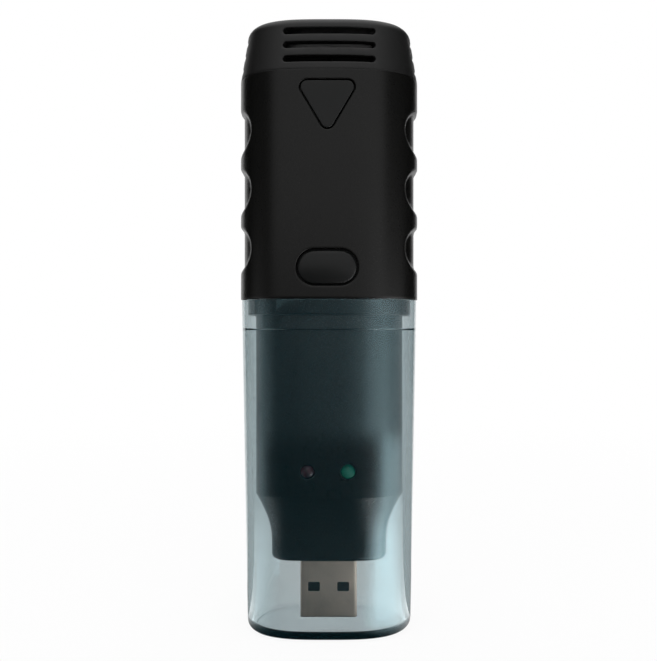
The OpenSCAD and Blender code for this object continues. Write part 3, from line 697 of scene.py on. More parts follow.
def screenMaterial(name, zones, cover=1.0):
    material, tree, shader = newMaterial(name)
    material.cycles.emission_sampling = "NONE"
    place = tree.nodes.new("ShaderNodeNewGeometry")
    parts = tree.nodes.new("ShaderNodeSeparateXYZ")
    tree.links.new(place.outputs["Position"], parts.inputs["Vector"])
    forward = mathNode(tree, "MULTIPLY", parts.outputs["Y"], -1.0)
    angle = mathNode(tree, "ARCTAN2", parts.outputs["X"], forward)
    wayRound = mathNode(tree, "ADD", mathNode(tree, "MULTIPLY", angle, 1 / (2 * math.pi)), 0.5)
    level = None
    for index, stops in enumerate(zones):
        greys = [(degrees / 360 + 0.5, (glow / screen["most"],) * 3) for degrees, glow in stops]
        here = rampNode(tree, wayRound, greys).outputs["Color"]
        if level is None:
            level = here
            continue
        near, far = (d * mm for d in screen["blends"][index - 1])
        share = easeNode(tree, distanceNode(tree), near, far, 0, 1)
        rest = mathNode(tree, "MULTIPLY", level, mathNode(tree, "SUBTRACT", 1.0, share))
        level = mathNode(tree, "ADD", rest, mathNode(tree, "MULTIPLY", here, share))
    low, high = (d * mm for d in screen["fade"])
    fade = easeNode(tree, parts.outputs["Z"], low, high, screen["most"], 0)
    glow = tree.nodes.new("ShaderNodeEmission")
    glow.inputs["Color"].default_value = (1, 1, 1, 1)
    tree.links.new(mathNode(tree, "MULTIPLY", level, fade), glow.inputs["Strength"])
    path = tree.nodes.new("ShaderNodeLightPath")
    bounced = mathNode(tree, "GREATER_THAN", path.outputs["Glossy Depth"], 0.5)
    near, far = (d * mm for d in screen["flagSolid"])
    shown = mathNode(tree, "MULTIPLY", bounced, easeNode(tree, distanceNode(tree), near, far, cover, 1.0))
    clear = tree.nodes.new("ShaderNodeBsdfTransparent")
    tree.links.new(mixOf(tree, shown, clear.outputs["BSDF"], glow.outputs["Emission"]),
                   tree.nodes["Material Output"].inputs["Surface"])
    return material


def makeScreen(name, start, end, material):
    angles = np.radians(np.linspace(start, end, screen["steps"] + 1))
    rows = [(screen["inner"], -screen["under"]), (screen["radius"], -screen["under"]),
            (screen["radius"], screen["high"])]
    verts = [(r * math.sin(a), -r * math.cos(a), z) for r, z in rows for a in angles]
    count = len(angles)
    polys = [(k * count + i, k * count + i + 1, (k + 1) * count + i + 1, (k + 1) * count + i)
             for k in range(len(rows) - 1) for i in range(count - 1)]
    sheet = makeSheet(name, verts, polys, material)
    sheet.visible_camera = False
    sheet.visible_diffuse = False
    sheet.visible_shadow = False
    return sheet


makeScreen("screenFront", -screen["reach"], screen["reach"], screenMaterial("screenGlow", screen["zones"]))
flagMaterial = screenMaterial("screenDark", [[(0, 0.0)]], screen["flagCover"])
for name, start, end in (("flagLeft", -screen["flagReach"][0], -screen["reach"]),
                         ("flagRight", screen["reach"], screen["flagReach"][1])):
    makeScreen(name, start, end, flagMaterial).visible_transmission = False


def softLamp(name, place, aim, wide, high, radiance):
    data = bpy.data.lights.new(name, "AREA")
    data.shape = "RECTANGLE"
    data.size = wide * mm
    data.size_y = high * mm
    data.energy = math.pi * (wide * mm) * (high * mm) * radiance
    lamp = bpy.data.objects.new(name, data)
    bpy.context.scene.collection.objects.link(lamp)
    lamp.location = [c * mm for c in place]
    lamp.rotation_euler = (Vector(aim) - Vector(place)).to_track_quat("-Z", "Y").to_euler()
    return lamp


lamps = {
    "lampFront": {"place": (0, -1000, 620), "aim": (0, 0, 620), "wide": 2050, "high": 1000, "radiance": 1.0},
    "lampTop": {"place": (0, -100, 1100), "aim": (0, 0, 0), "wide": 1500, "high": 1300, "radiance": 1.1},
}
for name, values in lamps.items():
    softLamp(name, **values)

view = bpy.context.scene.view_settings
view.view_transform = "Standard"
print("studio set")


# Grip: two half shells with finger pockets; windows for the keys in front, screw holes behind

grip = {
    "pocketPitch": 12.4, "pocketHigh": 9.2, "pocketSpan": 18.6, "pocketDrop": 11.2,
    "rampStart": 0.9,        # how far outside a pocket's line its ramp begins
    "ramp": 1.7,             # how wide the ramp is
    "edge": 0.12,            # rounding of the shell's rims
    "lip": 0.22,             # rounding of the window's edges
    "step": 0.75,
    "panelWide": 18, "panelHigh": 26, "panelDepth": 0.3, "panelRound": 2, "panelRamp": 0.25,
}
startKey = {"wide": 11.5, "high": 10.2, "round": 1.6, "drop": 2.1, "gap": 0.3, "edge": 0.18, "rim": 0.8}
markKey = {"wide": 12.8, "high": 7.6, "rise": 6.3, "gap": 0.3, "edge": 0.5, "dome": 0.4,
           "crown": 10, "longCrown": 30, "rim": 0.8}

startTop = logger["crease"] - startKey["drop"]
startCorners = [
    (-startKey["wide"] / 2 + startKey["round"], startTop - startKey["round"]),
    (0, startTop - startKey["high"] + startKey["round"]),
    (startKey["wide"] / 2 - startKey["round"], startTop - startKey["round"]),
]
startLoop, startDistance = roundedShape(startCorners, startKey["round"])
markLoop, markDistance = ovalShape(0, logger["seam"] + markKey["rise"], markKey["wide"], markKey["high"])
pocketHeights = [logger["crease"] - grip["pocketDrop"] - i * grip["pocketPitch"] for i in range(3)]


def onFront(loop):
    return np.stack([lengthAt(frontAngle(loop[:, 0], logger["wide"])), loop[:, 1]], 1)


def onBack(loop):
    return np.stack([lengthAt(backAngle(loop[:, 0], logger["wide"])), loop[:, 1]], 1)


def pocketLoops(low, high):
    # The lines of the finger pockets within a stretch of the outline, as open runs
    loops = []
    for z in pocketHeights:
        loop, _ = eggShape(0, z, grip["pocketSpan"], grip["pocketHigh"])
        for out in grip["rampStart"] - grip["ramp"] * np.array([0, 0.2, 0.4, 0.6, 0.8, 1]):
            points = loop(out)
            for angles in (rightAngle(points[:, 0], logger["deep"]), leftAngle(points[:, 0], logger["deep"])):
                for turn in (0, 2 * math.pi):
                    run = np.stack([lengthAt(angles + turn), points[:, 1]], 1)
                    inside = (run[:, 0] > low + 0.05) & (run[:, 0] < high - 0.05)
                    if inside.sum() > 3:
                        loops.append(openRun(run, inside))
    return loops


class Run(np.ndarray):
    closed = False


def openRun(run, inside):
    # Turns a loop that leaves the sheet into the one open run that stays on it
    count = len(run)
    start = next(i for i in range(count) if inside[i] and not inside[i - 1])
    picked = []
    for k in range(count):
        if not inside[(start + k) % count]:
            break
        picked.append(run[(start + k) % count])
    return np.array(picked).view(Run)


def pocketInset(x, y, z):
    inset = np.zeros(len(x))
    for height in pocketHeights:
        _, distance = eggShape(0, height, grip["pocketSpan"], grip["pocketHigh"])
        within = np.clip((grip["rampStart"] - distance(y, z)) / grip["ramp"], 0, 1) ** 1.6
        near = np.abs(x) > logger["wide"] / 4
        drop = logger["pocketDepth"] * within * within * (3 - 2 * within)
        inset = np.maximum(inset, np.where(near, drop, 0))
    return inset


def rimInset(s, z, sLow, sHigh):
    out = np.minimum(np.minimum(s - sLow, sHigh - s), np.minimum(z - logger["seam"], logger["crease"] - z))
    return roundedDrop(out, grip["edge"])


def gripHalf(sLow, sHigh, holes, guides, extra):
    edges = (0, firstLine, grip["edge"], 0.5)
    lineS = gradedLines(sLow, sHigh, grip["step"], edges, edges)
    lineZ = gradedLines(logger["seam"], logger["crease"], grip["step"], edges, edges)
    flat, faces = cutSheet(lineS, lineZ, holes + guides + pocketLoops(sLow, sHigh), 0.22)
    t = angleAt(flat[:, 0])
    x, y = ringPoint(logger["wide"], logger["deep"], t)
    nx, ny = ringNormal(logger["wide"], logger["deep"], t)
    z = flat[:, 1]
    inset = np.maximum(pocketInset(x, y, z), rimInset(flat[:, 0], z, sLow, sHigh))
    inset = np.maximum(inset, extra["inset"](x, y, z))
    middleOf = flat[faces].mean(1)
    tm = angleAt(middleOf[:, 0])
    xm, ym = ringPoint(logger["wide"], logger["deep"], tm)
    faces = faces[extra["solid"](xm, ym, middleOf[:, 1])]
    outer = np.stack([x - nx * inset, y - ny * inset, z], 1)
    depth = logger["wall"]
    inner = np.stack([x - nx * depth, y - ny * depth, z], 1)
    straight = extra["window"](x, y, z)
    inner[straight, 0] = x[straight]
    inner[straight, 1] = (y - np.sign(y) * depth)[straight]
    return closedSheet(outer, inner, faces)


lipRings = [inward for inward, _ in arcSteps(grip["lip"], 22.5, 45, 67.5, 90)]


def frontInset(x, y, z):
    return lipDrop(np.minimum(startDistance(x, z), markDistance(x, z)), grip["lip"])


frontExtra = {
    "inset": frontInset,
    "solid": lambda x, y, z: (startDistance(x, z) > 0) & (markDistance(x, z) > 0),
    "window": lambda x, y, z: (np.abs(startDistance(x, z)) < atEdge) | (np.abs(markDistance(x, z)) < atEdge),
}
frontHoles = [onFront(startLoop(0)), onFront(markLoop(0))]
frontGuides = [onFront(shape(out)) for shape in (startLoop, markLoop) for out in lipRings + [0.5]]
sLeft, sRight = float(lengthAt(math.pi)), float(lengthAt(2 * math.pi))
gripFrontPart = gripHalf(sLeft, sRight, frontHoles, frontGuides, frontExtra)

screw = {"head": 1.9, "hole": 1.92, "seat": 1.3}      # radius of head and hole, height of the head's seat
screwLow, screwHigh = boxMm("case_screws")
screwX = (screwHigh[0] - screwLow[0]) / 2 - screw["head"]
screwPlaces = [(side * screwX, z) for side in (-1, 1)
               for z in (screwLow[2] + screw["head"], screwHigh[2] - screw["head"])]
screwShapes = [roundHole(x, z, screw["hole"], 14) for x, z in screwPlaces]
panelLoop, panelDistance = panelShape(0, (logger["seam"] + logger["crease"]) / 2,
                                      grip["panelWide"], grip["panelHigh"], grip["panelRound"])


def screwDistance(x, z):
    return np.min([distance(x, z) for _, distance in screwShapes], axis=0)


def backInset(x, y, z):
    lip = lipDrop(screwDistance(x, z), grip["lip"])
    step = np.clip(-panelDistance(x, z) / grip["panelRamp"], 0, 1)
    return np.maximum(lip, grip["panelDepth"] * step * step * (3 - 2 * step))


backExtra = {
    "inset": backInset,
    "solid": lambda x, y, z: screwDistance(x, z) > 0,
    "window": lambda x, y, z: np.abs(screwDistance(x, z)) < atEdge,
}
backHoles = [onBack(loop(0)) for loop, _ in screwShapes]
backGuides = [onBack(loop(out)) for loop, _ in screwShapes for out in lipRings]
backGuides += [onBack(panelLoop(out)) for out in (0, -0.08, -0.17, -0.25)]
gripBackPart = gripHalf(0.0, sLeft, backHoles, backGuides, backExtra)


def wallY(x, inset=0.0):
    # How far the outline stands behind the middle at a place across
    a, b = logger["wide"] / 2 - inset, logger["deep"] / 2 - inset
    return b * (1 - np.abs(x / a) ** logger["frontPower"]) ** (1 / logger["sidePower"])


def bossPart(px, pz, profile, side, steps=40):
    # Rings round a screw, each given by its radius and depth; a depth of None ends inside the wall
    a = np.linspace(0, 2 * math.pi, steps, endpoint=False) * side
    verts, polys = [], []
    for r, y in profile:
        x, z = px + r * np.cos(a), pz + r * np.sin(a)
        depth = side * (wallY(x) - boss["into"]) if y is None else np.full(steps, y)
        verts += list(zip(x, depth, z))
    for k in range(len(profile)):
        low, high = k * steps, (k + 1) % len(profile) * steps
        for i in range(steps):
            j = (i + 1) % steps
            polys.append((low + j, low + i, high + i, high + j))
    return np.array(verts), polys


seatY = screwHigh[1] - screw["seat"]
boardLow, boardHigh = boxMm("main_board")
boss = {"round": 2.8, "bore": 1.12, "fit": 0.03, "into": 1}      # into the wall
backBoss = [(boss["bore"], boardHigh[1]), (boss["round"], boardHigh[1]), (boss["round"], None),
            (screw["hole"] + boss["fit"], None), (screw["hole"] + boss["fit"], seatY), (boss["bore"], seatY)]
frontBoss = [(boss["bore"], boardLow[1]), (boss["round"], boardLow[1]), (boss["round"], None),
             (boss["bore"], None)]
backBosses = [bossPart(px, pz, backBoss, 1) for px, pz in screwPlaces]
frontBosses = [bossPart(px, pz, frontBoss, -1) for px, pz in screwPlaces]

for name, parts, node in (("gripFront", [gripFrontPart] + frontBosses, "front_case"),
                          ("gripBack", [gripBackPart] + backBosses, "rear_case")):
    makePiece(name, parts, "logger", finishes["case"], [node])
print("grip made")


# Neck: collar, straight neck, taper and narrow end with the plug's slot

neck = {
    "inset": 3.15, "tipInset": 3.7, "tipInsetDeep": 2.6, "collarInset": 1.55, "collarHigh": 3.3, "wall": 1.6,
    "tipHigh": 3.8, "taperHigh": 9.9, "edge": 1.0, "partingDepth": 0.12, "partingHalf": 0.14,
    "lampPitch": 8.4, "lampRise": 5.4, "lampHole": 1.6, "lampLip": 0.15,
    "slotGap": 0.15, "endWall": 1.5,
    "endReach": 1.2, "endInset": 0.01,      # how the end's own piece reaches up inside the neck
    "collarEdge": 0.3, "collarReach": 1.4, "collarThick": 1,
}
neck["wide"] = logger["wide"] - 2 * neck["inset"]
neck["deep"] = logger["deep"] - 2 * neck["inset"]
neck["taperZ"] = logger["neckEnd"] + neck["tipHigh"]
neck["straightZ"] = neck["taperZ"] + neck["taperHigh"]
neck["lampZ"] = neck["straightZ"] + neck["lampRise"]


def neckSize(z):
    # Width, depth and flatness; the taper eases into the narrow end
    share = 1 - np.clip((z - neck["taperZ"]) / neck["taperHigh"], 0, 1) ** 2
    return neck["wide"] - 2 * neck["tipInset"] * share, neck["deep"] - 2 * neck["tipInsetDeep"] * share, share


lampShapes = [roundHole(side * neck["lampPitch"] / 2, neck["lampZ"], neck["lampHole"], 16)
              for side in (-1, 1)]


def lampDistance(x, z):
    return np.min([distance(x, z) for _, distance in lampShapes], axis=0)


def neckPart():
    low, high = logger["neckEnd"] + neck["edge"], logger["seam"] + 1
    start = float(lengthAt(math.pi / 4))
    side = [float(lengthAt(math.pi)), roundTrip]
    lineS = list(np.linspace(start, start + roundTrip, 150))
    for s in side:
        lineS = [v for v in lineS if abs(v - s) > 0.4]
        lineS += [s + e for e in (-0.4, -0.14, -0.07, 0, 0.07, 0.14, 0.4)]
    lineS = np.unique(np.round(lineS, 6))
    lineZ = np.unique(np.round(np.concatenate([
        np.linspace(low, neck["taperZ"] - 0.6, 4), np.linspace(neck["taperZ"], neck["straightZ"] - 0.5, 14),
        neck["straightZ"] + np.array([-0.2, 0, 0.2, 0.5]),
        np.linspace(neck["straightZ"] + 1.2, high, 44)]), 6))

    def toSheet(loop):
        return np.stack([lengthAt(frontAngle(loop[:, 0], neck["wide"])), loop[:, 1]], 1)

    rings = [inward for inward, _ in arcSteps(neck["lampLip"], 30, 60, 90)]
    holes = [toSheet(loop(0)) for loop, _ in lampShapes]
    guides = [toSheet(loop(out)) for loop, _ in lampShapes for out in rings + [0.4]]
    flat, faces = cutSheet(lineS, lineZ, holes + guides, 0.2)
    t, z = angleAt(flat[:, 0]), flat[:, 1]
    wide, deep, box = neckSize(z)
    x, y = ringPoint(wide, deep, t, box)
    nx, ny = ringNormal(wide, deep, t, box)
    inset = lipDrop(np.where(y < 0, lampDistance(x, z), farOff), neck["lampLip"])
    gapSide = np.min([np.abs(flat[:, 0] - s) for s in side], axis=0)
    inset = np.maximum(inset, neck["partingDepth"] * np.clip(1 - gapSide / neck["partingHalf"], 0, 1))
    middleOf = flat[faces].mean(1)
    mw, md, mb = neckSize(middleOf[:, 1])
    mx, my = ringPoint(mw, md, angleAt(middleOf[:, 0]), mb)
    faces = faces[(my > 0) | (lampDistance(mx, middleOf[:, 1]) > 0)]
    outer = np.stack([x - nx * inset, y - ny * inset, z], 1)
    inner = np.stack([x - nx * neck["wall"], y - ny * neck["wall"], z], 1)
    return closedSheet(outer, inner, faces)


def neckEndPart():
    # The narrow end's wall: rounded edge, flat face with the plug's slot, joined to an inner face
    tipWide, tipDeep, _ = neckSize(logger["neckEnd"])
    endZ = logger["neckEnd"]
    segments = 160
    t = angleAt(np.linspace(0, roundTrip, segments, endpoint=False))
    plugY = (plugLow[1] + plugHigh[1]) / 2
    slotHalf = (plugHigh - plugLow) / 2 + neck["slotGap"]
    verts, polys, rows = [], [], []

    def addRing(wide, deep, z):
        x, y = ringPoint(wide, deep, t, 1.0)
        rows.append(list(range(len(verts), len(verts) + segments)))
        verts.extend((x[i], y[i], z) for i in range(segments))

    def addSlot(z):
        x, y = ringPoint(tipWide, tipDeep, t, 1.0)
        k = 1 / np.maximum(np.abs(x) / slotHalf[0], np.abs(y - plugY) / slotHalf[1])
        rows.append(list(range(len(verts), len(verts) + segments)))
        verts.extend((x[i] * k[i], plugY + (y[i] - plugY) * k[i], z) for i in range(segments))

    r, reach, trim = neck["edge"], endZ + neck["edge"] + neck["endReach"], 2 * neck["endInset"]
    addRing(tipWide - 2 * neck["wall"], tipDeep - 2 * neck["wall"], reach)
    addRing(tipWide - trim, tipDeep - trim, reach)
    for inward, along in arcSteps(r, 0, 22.5, 45, 67.5, 90):
        addRing(tipWide - trim - 2 * inward, tipDeep - trim - 2 * inward, endZ + r - along)
    addSlot(endZ)
    addSlot(endZ + neck["endWall"])
    addRing(tipWide - 2 * neck["wall"], tipDeep - 2 * neck["wall"], endZ + neck["endWall"])
    count = len(rows)
    for k in range(count):
        low, high = rows[k], rows[(k + 1) % count]
        for i in range(segments):
            j = (i + 1) % segments
            polys.append((low[i], high[i], high[j], low[j]))
    return np.array(verts), polys


def collarPart():
    wide, deep = logger["wide"] - 2 * neck["collarInset"], logger["deep"] - 2 * neck["collarInset"]
    low, high = logger["seam"] - neck["collarHigh"], logger["seam"] + neck["collarReach"]
    innerWide, innerDeep = neck["wide"] - 2 * neck["collarThick"], neck["deep"] - 2 * neck["collarThick"]
    e = neck["collarEdge"]
    rings = [(high, innerWide, innerDeep), (low, innerWide, innerDeep), (low, wide - 2 * e, deep - 2 * e)]
    rings += [(low + inward, wide - 2 * (e - along), deep - 2 * (e - along))
              for inward, along in arcSteps(e, 22.5, 45, 67.5, 90)]
    rings += [(high, wide, deep), (high, innerWide, innerDeep)]
    return ringStack(rings, closed=False)


makePiece("neckShell", [neckPart(), neckEndPart(), collarPart()], "logger", finishes["neck"])
print("neck made")


# Vent head: leaning sides with rows of slots all round, rounded top edge, flat roof

head = {
    "lean": 1.5, "edge": 2, "lip": 0.18, "wall": 2.2, "foot": 0.12,
    "slotPitch": 3, "slotHigh": 1.4, "slotWide": 19, "slotAside": 0.35, "sideWide": 10, "slotRise": 2.2,
}


def headSize(z):
    share = np.clip((z - logger["crease"]) / (logger["top"] - head["edge"] - logger["crease"]), 0, 1)
    return logger["wide"] - 2 * head["lean"] * share, logger["deep"] - 2 * head["lean"] * share


def headPart():
    low, high = logger["crease"], logger["top"] - head["edge"]
    start = float(lengthAt(math.pi / 4))
    segments = 170
    lineS = np.linspace(start, start + roundTrip, segments + 1)
    lineZ = gradedLines(low, high, 0.6, (0, firstLine, head["foot"], 0.5))
    slots = []
    for row in range(3):
        z = low + head["slotRise"] + row * head["slotPitch"]
        for side, aside, wide in (("front", head["slotAside"], head["slotWide"]),
                                  ("back", head["slotAside"], head["slotWide"]),
                                  ("left", 0, head["sideWide"]), ("right", 0, head["sideWide"])):
            slots.append((side, *ovalShape(aside, z, wide, head["slotHigh"], 10)))

    def toSheet(side, loop):
        wide, deep = headSize(loop[:, 1])
        if side == "front":
            t = frontAngle(loop[:, 0], wide)
        elif side == "back":
            t = backAngle(loop[:, 0], wide)
        elif side == "left":
            t = leftAngle(loop[:, 0], deep)
        else:
            t = rightAngle(loop[:, 0], deep) + 2 * math.pi
        return np.stack([lengthAt(t), loop[:, 1]], 1)

    def slotDistance(x, y, z):
        best = np.full(len(x), float(farOff))
        for side, _, distance in slots:
            along = x if side in ("front", "back") else y
            facing = {"front": -y, "back": y, "left": -x, "right": x}[side]
            limit = logger["deep"] / 4 if side in ("front", "back") else logger["wide"] / 3
            best = np.where(facing > limit, np.minimum(best, distance(along, z)), best)
        return best

    rings = [inward for inward, _ in arcSteps(head["lip"], 30, 60, 90)]
    holes = [toSheet(side, loop(0)) for side, loop, _ in slots]
    guides = [toSheet(side, loop(out)) for side, loop, _ in slots for out in rings]
    flat, faces = cutSheet(lineS, lineZ, holes + guides, 0.2)
    t, z = angleAt(flat[:, 0]), flat[:, 1]
    wide, deep = headSize(z)
    x, y = ringPoint(wide, deep, t)
    nx, ny = ringNormal(wide, deep, t)
    inset = lipDrop(slotDistance(x, y, z), head["lip"])
    inset = np.maximum(inset, roundedDrop(z - low, head["foot"]))
    middleOf = flat[faces].mean(1)
    mw, md = headSize(middleOf[:, 1])
    mx, my = ringPoint(mw, md, angleAt(middleOf[:, 0]))
    faces = faces[slotDistance(mx, my, middleOf[:, 1]) > 0]
    outer = np.stack([x - nx * inset, y - ny * inset, z], 1)
    inner = np.stack([x - nx * head["wall"], y - ny * head["wall"], z], 1)
    top = z > high - 1e-6
    side = closedSheet(outer, inner, faces, lambda a, b: top[a] and top[b])
    # The roof continues the same points over the rounded edge
    t = angleAt(lineS[:-1])
    hx, hy = headSize(high)
    verts, polys, rows = [], [], []

    def addRow(off, z):
        px, py = ringPoint(hx, hy, t)
        qx, qy = ringNormal(hx, hy, t)
        rows.append(list(range(len(verts), len(verts) + segments)))
        verts.extend((px[i] - qx[i] * off, py[i] - qy[i] * off, z) for i in range(segments))

    for inward, along in arcSteps(head["edge"], 0, 15, 30, 45, 60, 75, 90):
        addRow(inward, high + along)
    for lowRow, highRow in zip(rows, rows[1:]):
        polys += bandFaces(lowRow, highRow)
    polys.append(tuple(rows[-1]))
    addRow(head["wall"], high)
    polys.append(tuple(reversed(rows[-1])))
    return side, (np.array(verts), polys)


makePiece("ventHead", list(headPart()), "logger", finishes["head"], ["vent_head"])
print("vent head made")


# Clear cap: one closed skin, outside and inside

cap = {"inset": 0.2, "lean": 1.3, "leanDeep": 0.9, "wall": 1.5, "floor": 1.3, "mouth": 6.4, "mouthWall": 1.2,
       "edge": 1.5, "rim": 0.15, "innerEdge": 1.0, "step": 0.25,
       "chamfer": 0.1,
       "support": 0.12}       # from a rounded edge to the next ring of the wall


def capSize(z):
    share = 1 - z / logger["seam"]
    return (logger["wide"] - 2 * (cap["inset"] + cap["lean"] * share),
            logger["deep"] - 2 * (cap["inset"] + cap["leanDeep"] * share))


def capRings():
    rings = []

    def add(z, off, size=None):
        wide, deep = capSize(z) if size is None else size
        rings.append((z, wide - 2 * off, deep - 2 * off))

    r, rim, e, near = cap["edge"], capHigh[2], cap["rim"], cap["support"]
    for inward, along in arcSteps(r, 0, 15, 30, 45, 60, 75, 90):
        add(inward, r - along, capSize(0))
    add(r + near, 0)
    add(rim * 0.5, 0)
    add(rim - e - near, 0)
    for inward, along in arcSteps(e, 0, 30, 60, 90):
        add(rim - e + along, inward)
    mouthInset = cap["inset"] + cap["mouthWall"]
    mouthSize = (logger["wide"] - 2 * mouthInset, logger["deep"] - 2 * mouthInset)
    for inward, along in arcSteps(e, 90, 60, 30, 0):
        add(rim - e + along, -inward, mouthSize)
    mouthZ = logger["seam"] - cap["mouth"]
    s, wall, bevel = cap["step"], cap["wall"], cap["chamfer"]
    for z, off in ((rim - e - near, 0), (mouthZ + s + near, 0), (mouthZ + s, 0), (mouthZ + s * 0.3, s * 0.3),
                   (mouthZ, s)):
        add(z, off, mouthSize)
    add(mouthZ, wall - bevel)
    add(mouthZ - bevel, wall)
    add(mouthZ - bevel - near, wall)
    add((mouthZ + cap["floor"]) / 2, wall)
    q, floor = cap["innerEdge"], cap["floor"]
    add(floor + q + near, wall)
    for inward, along in arcSteps(q, 0, 15, 30, 45, 60, 75, 90):
        add(floor + q - along, wall + inward, capSize(floor + q))
    return rings


makePiece("clearCap", [ringStack(capRings(), 256)], "cap", finishes["smoke"], ["clear_cap"])
print("clear cap made")


# Keys: faces that follow the grip or swell from it, with soft edges, on a rim behind the window

def keyPart(loopFn, distanceFn, shrink, edge, faceY, backY, step=0.55):
    outer = loopFn(-shrink)
    low, high = outer.min(0), outer.max(0)
    lineX, lineZ = np.arange(low[0], high[0] + step, step), np.arange(low[1], high[1] + step, step)
    gx, gz = np.meshgrid(lineX, lineZ)
    points = np.stack([gx.ravel(), gz.ravel()], 1)
    points = points[distanceFn(points[:, 0], points[:, 1]) < -shrink - edge - 0.2]
    rings = [outer] + [loopFn(-shrink - inward) for inward, _ in arcSteps(edge, 20, 40, 60, 75, 90)]
    flat, faces = netThrough(points, rings)
    middleOf = flat[faces].mean(1)
    faces = faces[distanceFn(middleOf[:, 0], middleOf[:, 1]) < -shrink]
    depth = roundedDrop(-shrink - distanceFn(flat[:, 0], flat[:, 1]), edge)
    front = np.stack([flat[:, 0], faceY(flat[:, 0], flat[:, 1]) + depth, flat[:, 1]], 1)
    back = np.stack([flat[:, 0], np.full(len(flat), backY), flat[:, 1]], 1)
    return closedSheet(front, back, faces)


keyBackY = boxMm("start_plunger")[0][1]
rimFit = 0.05     # between a key's rim and the wall


def rimPart(loopFn, grow):
    # A flat rim behind the wall
    loop = loopFn(grow)
    count = len(loop)
    front = -wallY(loop[:, 0], logger["wall"] + rimFit)
    verts = [(p[0], f, p[1]) for p, f in zip(loop, front)] + [(p[0], keyBackY, p[1]) for p in loop]
    polys = [tuple(range(count)), tuple(range(2 * count - 1, count - 1, -1))]
    polys += [((i + 1) % count, i, i + count, (i + 1) % count + count) for i in range(count)]
    return np.array(verts), polys


def markFace(x, z):
    top = -logger["deep"] / 2 - markKey["dome"]
    dz = z - logger["seam"] - markKey["rise"]
    r, q = markKey["crown"], markKey["longCrown"]
    return top + (r - np.sqrt(r * r - dz * dz)) + (q - np.sqrt(q * q - x * x))


makePiece("startKeyCap", [keyPart(startLoop, startDistance, startKey["gap"], startKey["edge"],
                                  lambda x, z: -wallY(x), keyBackY), rimPart(startLoop, startKey["rim"])],
          "start_button", finishes["key"], ["start_key"])
makePiece("markKeyCap", [keyPart(markLoop, markDistance, markKey["gap"], markKey["edge"], markFace, keyBackY),
                         rimPart(markLoop, markKey["rim"])],
          "mark_button", finishes["key"], ["mark_key"])
print("keys made")


# Plug: folded shell with its windows and a seam behind

plug = {
    "sheet": 0.3, "corner": 0.6, "tip": 0.12,
    "windowWide": 2.5, "windowHigh": 2.0, "windowPitch": 6.2, "windowRise": 6.4, "windowRound": 0.25,
}


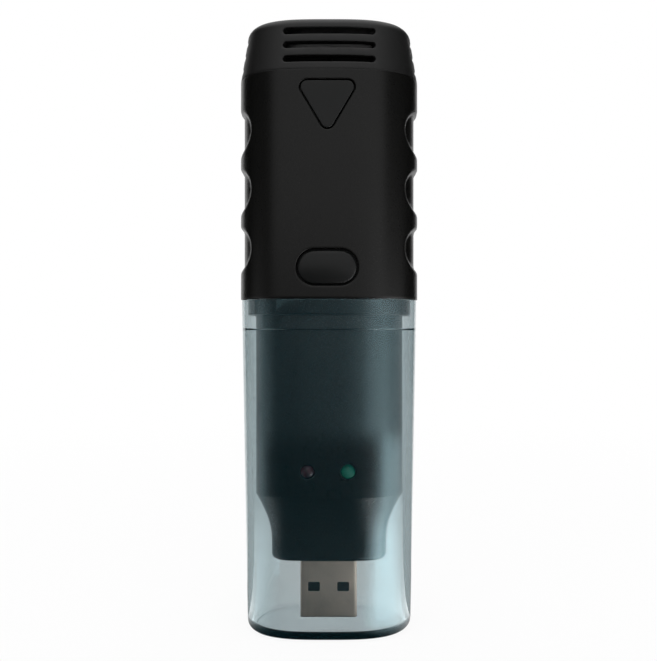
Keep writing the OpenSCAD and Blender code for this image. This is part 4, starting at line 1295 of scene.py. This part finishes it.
def plugPart():
    wide, deep = plugHigh[0] - plugLow[0], plugHigh[1] - plugLow[1]
    low, high = plugLow[2], plugHigh[2]
    r = plug["corner"]
    flatX, flatY = wide - 2 * r, deep - 2 * r
    arc = math.pi / 2 * r
    total = 2 * flatX + 2 * flatY + 4 * arc

    # Starts at the middle of the back face and runs round by the left side
    def place(s, inset):
        s = np.mod(s, total)
        legs = [flatX / 2, arc, flatY, arc, flatX, arc, flatY, arc, flatX / 2]
        ends = np.cumsum(legs)
        x, y = np.zeros(len(s)), np.zeros(len(s))
        h, v = wide / 2, deep / 2
        rr = r - inset
        for k, end in enumerate(ends):
            begin = end - legs[k]
            m = (s >= begin - 1e-9) & (s <= end + 1e-9)
            d = s[m] - begin
            i = inset[m]
            if k == 0:
                x[m], y[m] = -d, v - i
            elif k == 2:
                x[m], y[m] = -h + i, flatY / 2 - d
            elif k == 4:
                x[m], y[m] = -flatX / 2 + d, -v + i
            elif k == 6:
                x[m], y[m] = h - i, -flatY / 2 + d
            elif k == 8:
                x[m], y[m] = flatX / 2 - d, v - i
            else:
                cx, cy, a0 = {1: (-1, 1, math.pi / 2), 3: (-1, -1, math.pi), 5: (1, -1, 1.5 * math.pi),
                              7: (1, 1, 0)}[k]
                a = a0 + d / r
                x[m] = cx * flatX / 2 + rr[m] * np.cos(a)
                y[m] = cy * flatY / 2 + rr[m] * np.sin(a)
        return x, y

    def frontS(x):
        return flatX / 2 + arc + flatY + arc + flatX / 2 + x

    def backS(x):
        return np.mod(-x, total)

    arcs = [flatX / 2, flatX / 2 + arc + flatY, flatX / 2 + 2 * arc + flatY + flatX,
            flatX / 2 + 3 * arc + 2 * flatY + flatX]
    lineS = list(np.linspace(0, total, 60))
    for begin in arcs:
        lineS += [begin + arc * k / 6 for k in range(7)]
    lineS = np.unique(np.round(lineS, 5))
    lineZ = gradedLines(low, high, 0.6, (0, firstLine, plug["tip"], 0.4))
    shapes = [panelShape(side * plug["windowPitch"] / 2, low + plug["windowRise"], plug["windowWide"],
                         plug["windowHigh"], plug["windowRound"], 4) for side in (-1, 1)]
    holes = []
    for loop, _ in shapes:
        points = loop(0)
        holes.append(np.stack([frontS(points[:, 0]), points[:, 1]], 1))
        holes.append(np.stack([backS(points[:, 0]), points[:, 1]], 1))
    flat, faces = cutSheet(lineS, lineZ, holes, 0.12)
    s, z = flat[:, 0], flat[:, 1]
    middleOf = flat[faces].mean(1)
    mx, my = place(middleOf[:, 0], np.zeros(len(middleOf)))
    inWindow = np.zeros(len(faces), bool)
    for _, distance in shapes:
        inWindow |= distance(mx, middleOf[:, 1]) < 0
    faces = faces[~(inWindow & (np.abs(my) > deep / 2 - 0.1))]
    inset = roundedDrop(z - low, plug["tip"])
    plugY = (plugLow[1] + plugHigh[1]) / 2
    ox, oy = place(s, inset)
    outer = np.stack([ox, plugY + oy, z], 1)
    ix, iy = place(s, np.full(len(s), plug["sheet"]))
    inner = np.stack([ix, plugY + iy, z], 1)
    return closedSheet(outer, inner, faces)


makePiece("plugShell", [plugPart()], "logger", finishes["nickel"], ["usb_shell"])
print("plug made")


# Lamps: round-nosed lenses

lamp = {"round": 1.5, "flangeThick": 0.8, "bevel": 0.1}


def lampPart(node):
    low, high = boxMm(node)
    x = (low[0] + high[0]) / 2
    z = (low[2] + high[2]) / 2
    length = high[1] - low[1]
    r, thick, bevel, flange = lamp["round"], lamp["flangeThick"], lamp["bevel"], (high[0] - low[0]) / 2
    profile = [(0, 0), (flange - bevel, 0), (flange, bevel), (flange, thick - bevel), (flange - bevel, thick),
               (r, thick), (r, length - r)]
    profile += [(r - inward, length - r + along) for inward, along in arcSteps(r, 11, 22, 33, 45, 56, 67, 79)]
    profile += [(0, length)]
    return lathe(profile, (x, high[1], z))


makePiece("redLens", [lampPart("red_led")], "logger", finishes["redLens"], ["red_led"])
makePiece("greenLens", [lampPart("green_led")], "logger", finishes["greenLens"], ["green_led"])
print("lamps made")


# Nodes that keep their own shape take a finish

kept = {
    "start_plunger": "part", "mark_plunger": "part", "start_switch": "part", "mark_switch": "part",
    "main_board": "board", "battery": "sleeve", "battery_plus_contact": "tin", "battery_minus_contact": "tin",
    "usb_tongue": "part", "usb_contacts": "gold", "led_leads": "tin", "temp_sensor": "resin",
    "sensor_leads": "resin", "microcontroller": "part", "microcontroller_leads": "tin", "memory_chip": "part",
    "memory_leads": "tin", "crystal": "tin", "chip_capacitors": "ceramic", "case_screws": "steel",
}
for name, finish in kept.items():
    node = nodes[name]
    node.data.materials.clear()
    node.data.materials.append(finishes[finish])
print("inner parts finished")
